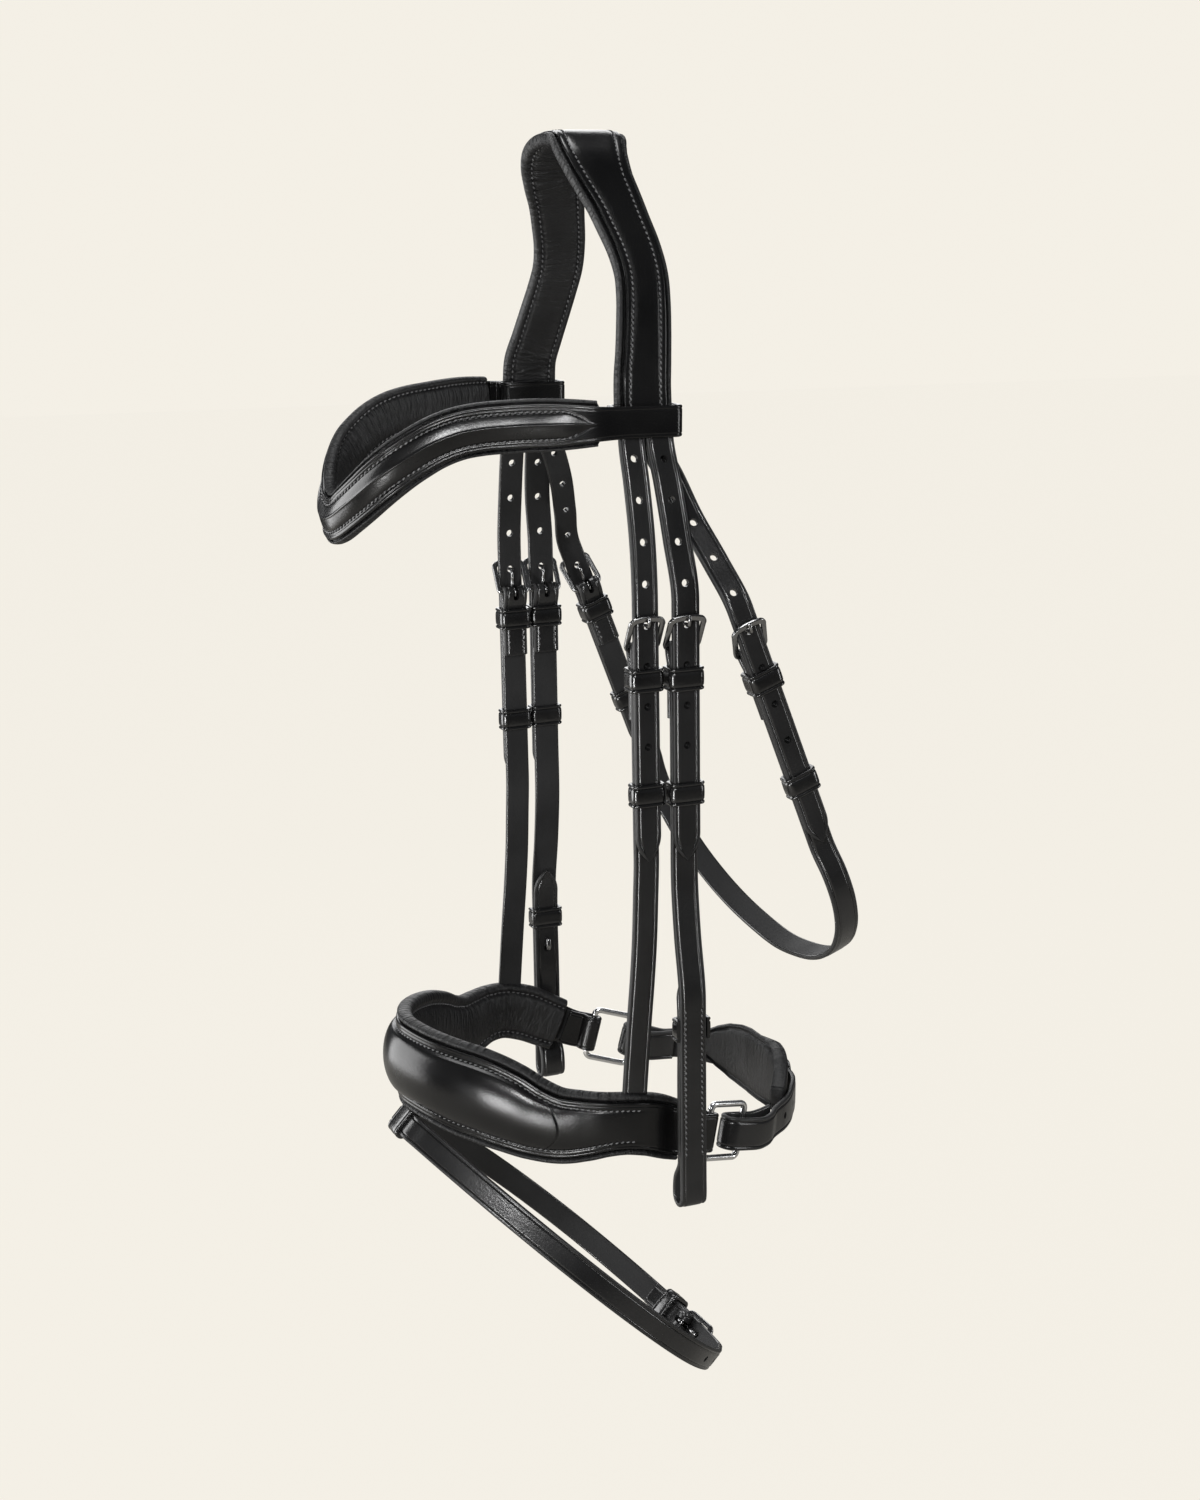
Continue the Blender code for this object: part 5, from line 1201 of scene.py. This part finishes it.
# The cheekpieces: folded round their buckles, down to a bit loop that turns up again on the
# inside, where its pointed end is held by a hook stud and a keeper sewn to the strap's edges.
cheek_step = 5.5 * MM
cheek_long = 511.0 * MM - buckle_drop
bit_loop_high = 23.0 * MM
bit_loop_radius = 3.2 * MM + leather_thick / 2
straight_from = cheek_long * 0.61
stud_at = cheek_long - 75.0 * MM
stud_band_at = cheek_long - 93.0 * MM
stud_tip = cheek_long - 121.0 * MM
stud_radius = 1.4 * MM
stud_hook = 5.0 * MM
cheek_seam_from = 81.0 * MM
cheek_seam_to = 4.0 * MM
behind = cheek_step - layer
closed_at = cheek_long - bit_loop_high
cheek_down = [
    (20 * MM, -layer), (50 * MM, -layer), (85 * MM, -layer),
    (billet_tip + billet_taper, -layer), (cheek_long * 0.50, -layer + (cheek_step + layer) * 0.35),
    (straight_from, cheek_step), (cheek_long * 0.66, cheek_step), (cheek_long * 0.8, cheek_step),
    (cheek_long * 0.9, cheek_step), (cheek_long * 0.95, cheek_step),
]
cheek_up = [
    (closed_at + bit_loop_high * 0.45, cheek_step - 2 * bit_loop_radius * 0.92), (closed_at, behind),
    (closed_at - leather_thick, behind), (closed_at - 0.4 * (closed_at - stud_tip), behind),
]
for share in (1.0, 0.6, 0.25, 0.08, 0.0):
    s = stud_tip + billet_taper * share
    cheek_up.append((s, behind - max(0.0, (straight_from - s) * 0.16)))
bit_turn = arc((cheek_long - bit_loop_radius, cheek_step - bit_loop_radius), bit_loop_radius, 90, -90, 16)
cheek_path = finer_tip(curve_through(
    in_plane(np.concatenate((fold_curve(), cheek_down, bit_turn, cheek_up))), 330
))


def stud_wire():
    """The hook stud: its stem from under the strap, bent over behind the inner layer."""
    low = cheek_step - leather_thick / 2 - gap
    head = behind - leather_thick / 2 - stud_radius - gap
    stem = [(stud_at, low), (stud_at, (low + head) / 2), (stud_at, head + stud_radius * 0.5)]
    hook = [(stud_at - stud_radius * 0.7, head), (stud_at - stud_hook, head)]
    return wire_rings(curve_through(in_plane(stem + hook), 40)[3:], stud_radius)


def stud_band():
    """The stud's keeper: a leather band bent round behind, its ends sewn to the strap's edges."""
    edge = cheek_wide / 2 + gap + keeper_thick / 2
    floor_at = behind - leather_thick / 2 - gap - keeper_thick / 2
    top_at = cheek_step + leather_thick / 2
    mid_at, low_at = (top_at + floor_at) / 2, floor_at + keeper_thick
    bow = np.concatenate((
        [(-edge, top_at), (-edge, mid_at)],
        arc((-edge + keeper_thick, low_at), keeper_thick, 180, 270, 8),
        arc((edge - keeper_thick, low_at), keeper_thick, 270, 360, 8),
        [(edge, mid_at), (edge, top_at)],
    ))
    shape = even_steps(np.insert(bow, 0, stud_band_at, axis=1), 90)
    out = np.cross((1.0, 0, 0), along(shape))
    out *= np.sign((out * unit(shape - shape.mean(0)))[:, 1:].sum())
    lift = np.append(keeper_thick / 2 + keeper_rise, np.full(3, -keeper_thick / 2))
    section = np.column_stack((lift, keeper_share * keeper_long / 2))
    return set_in_rings(shape, out, (1.0, 0, 0), section)


for side, name in sides:
    axes = strap_axes["cheek", name]
    stud_place = axes.place((stud_at, 0, behind))
    punches = [pin_slot(axes), round_punch(stud_place, axes.z, stud_radius + 2 * gap, leather_thick + gap)]
    widths = pointed(cheek_path, cheek_wide)
    strap(f"cheek_strap_{name}", axes.place(cheek_path), axes.y, widths, f"cheekpiece_{name}", punches)
    sewn_from, sewn_to = closed_at - cheek_seam_from, closed_at - cheek_seam_to
    lanes = straight_lanes(axes, sewn_from, sewn_to, cheek_wide, cheek_step + thin - 0.02 * MM)
    sewn(f"cheek_stitches_{name}", lanes)
    stud = surface(f"stud_hook_{name}", axes.place(stud_wire()), buckle_steel)
    fitted(stud, f"hook_stud_{name}", slot="polished_steel")
    band = surface(f"stud_band_{name}", axes.place(stud_band()), keeper_leather)
    fitted(band, f"stud_keeper_{name}")

# The throatlash: one long strap that hangs from the left buckle round under the throat and
# up to the right one, folded round the bar and sewn at both ends.
throat_hang = 196.0 * MM
throat_shares = (
    (0.620, 1.035), (0.690, 1.030), (0.765, 0.975), (0.840, 0.860),
    (0.905, 0.690), (0.955, 0.480), (0.985, 0.250), (1.000, 0.000),
)
axes = strap_axes["throat", "left"]
middle_y = throat_out - layer
throat_half = [(billet_tip * share, middle_y) for share in (0.2, 0.5, 0.8, 0.95, 1.03)]
throat_half += [(s * throat_hang, y * middle_y) for s, y in throat_shares]
fold = fold_curve() + (0, throat_out)
hanging = np.concatenate((fold, mirrored(np.array(throat_half), (1, -1)), fold[::-1] * (1, -1)))
hanging = curve_through(in_plane(hanging), 560)
origin = np.array((axes.origin[0], 0, axes.origin[2]))
path = origin + hanging[:, :1] * axes.x - np.array((0, 1.0, 0)) * hanging[:, 2:]
slots = [pin_slot(axes), pin_slot(strap_axes["throat", "right"])]
strap("throat_strap", path, axes.y, throat_wide, "throatlash", slots)

# Straps that lie on a curve: s runs along it and n stands off it, outward. The chin strap's
# two halves and the flash strap are laid on such curves, each folded over itself.
billet_climb = 26.0 * MM


class BaseCurve:
    """A curve with ways along, across and out at each of its points, closed if its ends meet."""

    def __init__(self, points, across):
        self.points, self.across = points, across
        self.lengths = run_of(points)
        self.total = self.lengths[-1]
        self.closed = bool(np.allclose(points[0], points[-1], atol=gap))
        self.ahead = along(points)
        if self.closed:
            self.ahead[[0, -1]] = unit(self.ahead[0] + self.ahead[-1])
        self.out = unit(np.cross(self.ahead, across))

    def read(self, table, s):
        s = np.asarray(s, float)
        return read_at(s % self.total if self.closed else s, self.lengths, table)

    def at(self, s, n=0.0):
        """The place at a length along the curve and a height off it, past its ends too."""
        s, n = np.asarray(s, float), np.asarray(n, float)
        over = 0 * s if self.closed else s - np.clip(s, 0, self.total)
        place = self.read(self.points, s) + self.read(self.ahead, s) * over[..., None]
        return place + self.read(self.out, s) * n[..., None]

    def axes(self, s, n=0.0):
        return Axes(self.at(s, n), self.read(self.ahead, s), self.read(self.out, s))

    def place_of(self, axis, value, first, last):
        """Length along the curve where one coordinate first reaches a value."""
        reach = np.linspace(first, last, len(self.points))
        track = self.at(reach)[:, axis]
        crossing = np.nonzero((track[:-1] - value) * (track[1:] - value) <= 0)[0][0]
        share = (value - track[crossing]) / (track[crossing + 1] - track[crossing])
        return reach[crossing] + (reach[crossing + 1] - reach[crossing]) * share


def laid(name, curve, places, width, count, node, punches, body="headpiece", tip=True):
    """A strap through places on a curve, each a length along it and a height off it."""
    smooth = curve_through(in_plane(places), count)
    if tip:
        smooth = finer_tip(smooth)
    path = curve.at(smooth[:, 0], smooth[:, 2])
    widths = pointed(path, width) if tip else width
    strap(name, path, curve.read(curve.across, smooth[:, 0]), widths, node, punches, body)


def climb(s, hinge):
    """How far a billet has risen from the base curve to the layer over the strap."""
    return layer * soft_step((np.asarray(s) - (hinge - billet_straight - billet_climb)) / billet_climb)


def climbing(first, tip_at, step, hinge):
    """Places of a billet on its curve, from first to its tip."""
    run = np.arange(first, tip_at - 2 * MM, step)
    return [*zip(run, climb(run, hinge)), (tip_at, layer)]


def hole_punches(curve, hinge, first, last):
    places = hinge + pin_hole_at + hole_pitch * np.arange(first, last + 1)
    return [round_punch(curve.at(s, climb(s, hinge)), curve.read(curve.out, s)) for s in places]


# The chin strap: a short strap folded round the right ring carries the buckle, and a long
# one turns round the left ring and comes back as the holed billet, so the noseband cranks.
chin_wide = 17.0 * MM
chin_rear = 109.0 * MM
chin_drop = 492.0 * MM
crank_side = 8.0 * MM
crank_tip = 48.0 * MM
crank_keeper_at = 17.0 * MM
crank_loop = 24.0 * MM
crank_loop_forward = 8.5 * MM
loose_half = 5.2 * MM
ring_loop = 18.0 * MM
curved_keeper_long = 9.0 * MM
curved_play = 0.5 * MM
chin_shares = (
    (0.480, 0.870), (0.690, 0.720), (0.860, 0.530), (0.960, 0.350),
    (0.997, 0.200), (1.000, 0.100), (1.000, 0.000),
)
ring_end = left_ring.place((ring_long, 0, 0))
joint = left_ring.place((ring_long + crank_loop * 0.4, 0, 0))
depth, fall = chin_rear - ring_end[0], -chin_drop - ring_end[2]
chin_half = np.array([ring_end, joint] + [
    (ring_end[0] + depth * back, ring_end[1] * out, ring_end[2] + fall * back) for back, out in chin_shares
])
points = curve_through(mirrored(chin_half, mirror), 400)
level = np.clip((points[:, :1] - joint[0]) / (chin_rear - joint[0]) * 2, 0, 1)
bars = np.where(points[:, 1:2] < 0, left_ring.z, left_ring.z * mirror)
chin = BaseCurve(points, unit(bars * (1 - level) + np.array((0, 0, 1.0)) * level))
hinge = chin.place_of(1, crank_side, 0, chin.total)
middle_n = loose_half - ring_wire - gap - leather_thick / 2
inner_n, outer_n = middle_n - loose_half, middle_n + loose_half
places = [(crank_loop, -layer * 1.08), (crank_loop * 0.6, inner_n), (crank_loop * 0.25, inner_n)]
places += [*arc((-crank_loop_forward, middle_n), loose_half, 270, 90, 16)]
places += [(crank_loop * 0.3, outer_n), (crank_loop * 0.72, outer_n * 0.66)]
places += [(crank_loop * 0.98, outer_n * 0.17)]
places += climbing(crank_loop * 1.25, hinge + crank_tip, 5 * MM, hinge)
holes = hole_punches(chin, hinge, -3, 1)
laid("crank_long_strap", chin, places, chin_wide, 300, "crank_billet", holes)

crank_axes = chin.axes(hinge, layer)
places = [(hinge + s, n + layer) for s, n in fold_curve()]
end = chin.total
places += [(s, 0) for s in np.arange(places[-1][0] + 6 * MM, end - ring_loop * 1.35, 6 * MM)]
places += [(end - ring_loop, loose_half * 0.2), (end - ring_loop * 0.55, middle_n + loose_half * 0.85)]
places += [*arc((end, middle_n), loose_half, 90, -90, 16)]
places += [(end - ring_loop * 0.4, inner_n), (end - ring_loop, -layer * 1.1 + loose_half * 0.12)]
places += [(end - ring_loop * 1.35, -layer * 1.02)]
slot = [pin_slot(crank_axes)]
laid("crank_short_strap", chin, places, chin_wide, 330, "crank_strap", slot, tip=False)
buckle("crank_steel", crank_axes, chin_wide, ("crank_buckle", "crank_tongue"))
low = -2 * layer - leather_thick / 2 - curved_play
high = leather_thick / 2 + curved_play
keeper("crank_band", "headpiece", chin.axes(hinge + crank_keeper_at, layer), chin_wide / 2 + curved_play,
       low, high, "crank_keeper", curved_keeper_long)

# The chin pad behind the chin strap: soft leather over felt with a piped edge, hollowed
# where the buckle and the folded straps press into it.
chin_pad_high = 38.0 * MM
chin_pad_rise = 6.0 * MM
chin_pad_thick = 8.0 * MM
chin_pad_half = 50.0 * MM
pad_section = np.array((
    (0.00, 0.00), (0.86, 0.00), (0.985, 0.20), (1.00, 0.62),
    (0.93, 0.92), (0.845, 0.60), (0.72, 0.88), (0.40, 0.98),
))
pad_taper = (0.30, 0.62, 0.84, 0.95, 1.00, 1.00)
first, last = (chin.place_of(1, y, 0, chin.total) for y in (-chin_pad_half, chin_pad_half))
plain = leather_thick / 2 + 2 * gap
swollen = -hinge_up + fold_radius + leather_thick / 2 + gap - layer
dents = np.array((
    (-buckle_long - fold_from, plain), (-fold_from, swollen), (crank_keeper_at * 1.35, swollen),
    (crank_keeper_at * 1.6, plain + layer), (fold_back + gap, plain + layer), (fold_back + fold_from, plain),
))
spots = np.linspace(first, last, 150)
depths = np.interp(spots, dents[:, 0] + hinge, dents[:, 1])
reach = np.abs(spots * 2 - first - last) / (last - first)
tapers = np.interp(reach, np.linspace(0, 1, len(pad_taper)), pad_taper[::-1])
section = np.concatenate((pad_section, pad_section[:0:-1] * (-1, 1)))
section = rounded_section(np.broadcast_to(section, (len(spots), *section.shape)), 4)
upward = np.array((0, 0, 1.0)) * (chin_pad_high / 2 * tapers)[:, None]
section[..., 1] = depths[:, None] + (plain + chin_pad_thick - depths)[:, None] * section[..., 1]
rings = set_in_rings(chin.at(spots) + (0, 0, chin_pad_rise), upward, -chin.read(chin.out, spots), section)
cushion = surface("chin_cushion", eased_ends(rings, 0.8 * MM, 0.8), lining_leather)
fitted(cushion, "chin_pad", slot="soft_lining")

# The flash strap: it hangs from a leather sleeve under the noseband's front, and its two
# ends meet in a buckle, its billet's tip held by a keeper.
flash_wide = 13.0 * MM
flash_lean = 42.5
flash_long = 222.0 * MM
flash_half_wide = 88.0 * MM
flash_side = 8.0 * MM
flash_keeper_at = 20.0 * MM
flash_tip = 34.0 * MM
flash_loop_long = 13.0 * MM
flash_shares = (
    (1.000, 0.000), (1.000, 0.160), (0.996, 0.310), (0.962, 0.480), (0.880, 0.730),
    (0.760, 0.930), (0.630, 1.000), (0.500, 0.975), (0.340, 0.830), (0.200, 0.610),
    (0.090, 0.370), (0.030, 0.205), (0.000, 0.110), (0.000, 0.075), (0.000, 0.000),
)
sleeve_half_wide = flash_wide / 2 + gap + keeper_thick
sleeve_half_deep = leather_thick / 2 + gap + keeper_thick
flash_axis = np.array((
    -(nose_reach - lining_gap - nose_pad * 0.25), 0, -(nose_drop + nose_high * 0.47 + nose_roll + gap)
))
lean = math.radians(flash_lean)
down = np.array((math.cos(lean), 0, -math.sin(lean)))
normal = np.array((math.sin(lean), 0, math.cos(lean)))
front_point = flash_axis - normal * sleeve_half_wide + down * sleeve_half_deep
flash_half = np.array([
    front_point + down * ahead * flash_long + np.array((0, out * flash_half_wide, 0))
    for ahead, out in flash_shares
])
points = curve_through(mirrored(flash_half, mirror), 700)
flash = BaseCurve(points, np.tile(normal, (len(points), 1)))
hinge = flash.place_of(1, flash_side, 0, flash.total / 4)
finish_at = flash.total + hinge
places = [(hinge + s, n + layer) for s, n in fold_curve()]
places += climbing(places[-1][0] + 6 * MM, finish_at + flash_tip, 6 * MM, finish_at)
flash_axes = flash.axes(hinge, layer)
punches = [pin_slot(flash_axes), *hole_punches(flash, finish_at, -4, 1)]
laid("flash_long_strap", flash, places, flash_wide, 640, "flash_strap", punches, "flash")
buckle("flash_steel", flash_axes, flash_wide, ("flash_buckle", "flash_tongue"), "flash")
keeper("flash_band", "flash", flash.axes(hinge + flash_keeper_at, layer), flash_wide / 2 + curved_play,
       low, high, "flash_keeper", curved_keeper_long)
keeper("flash_sleeve", "flash", flash.axes(flash.total / 2), flash_wide / 2,
       -leather_thick / 2, leather_thick / 2, "flash_loop", flash_loop_long, 0.0)
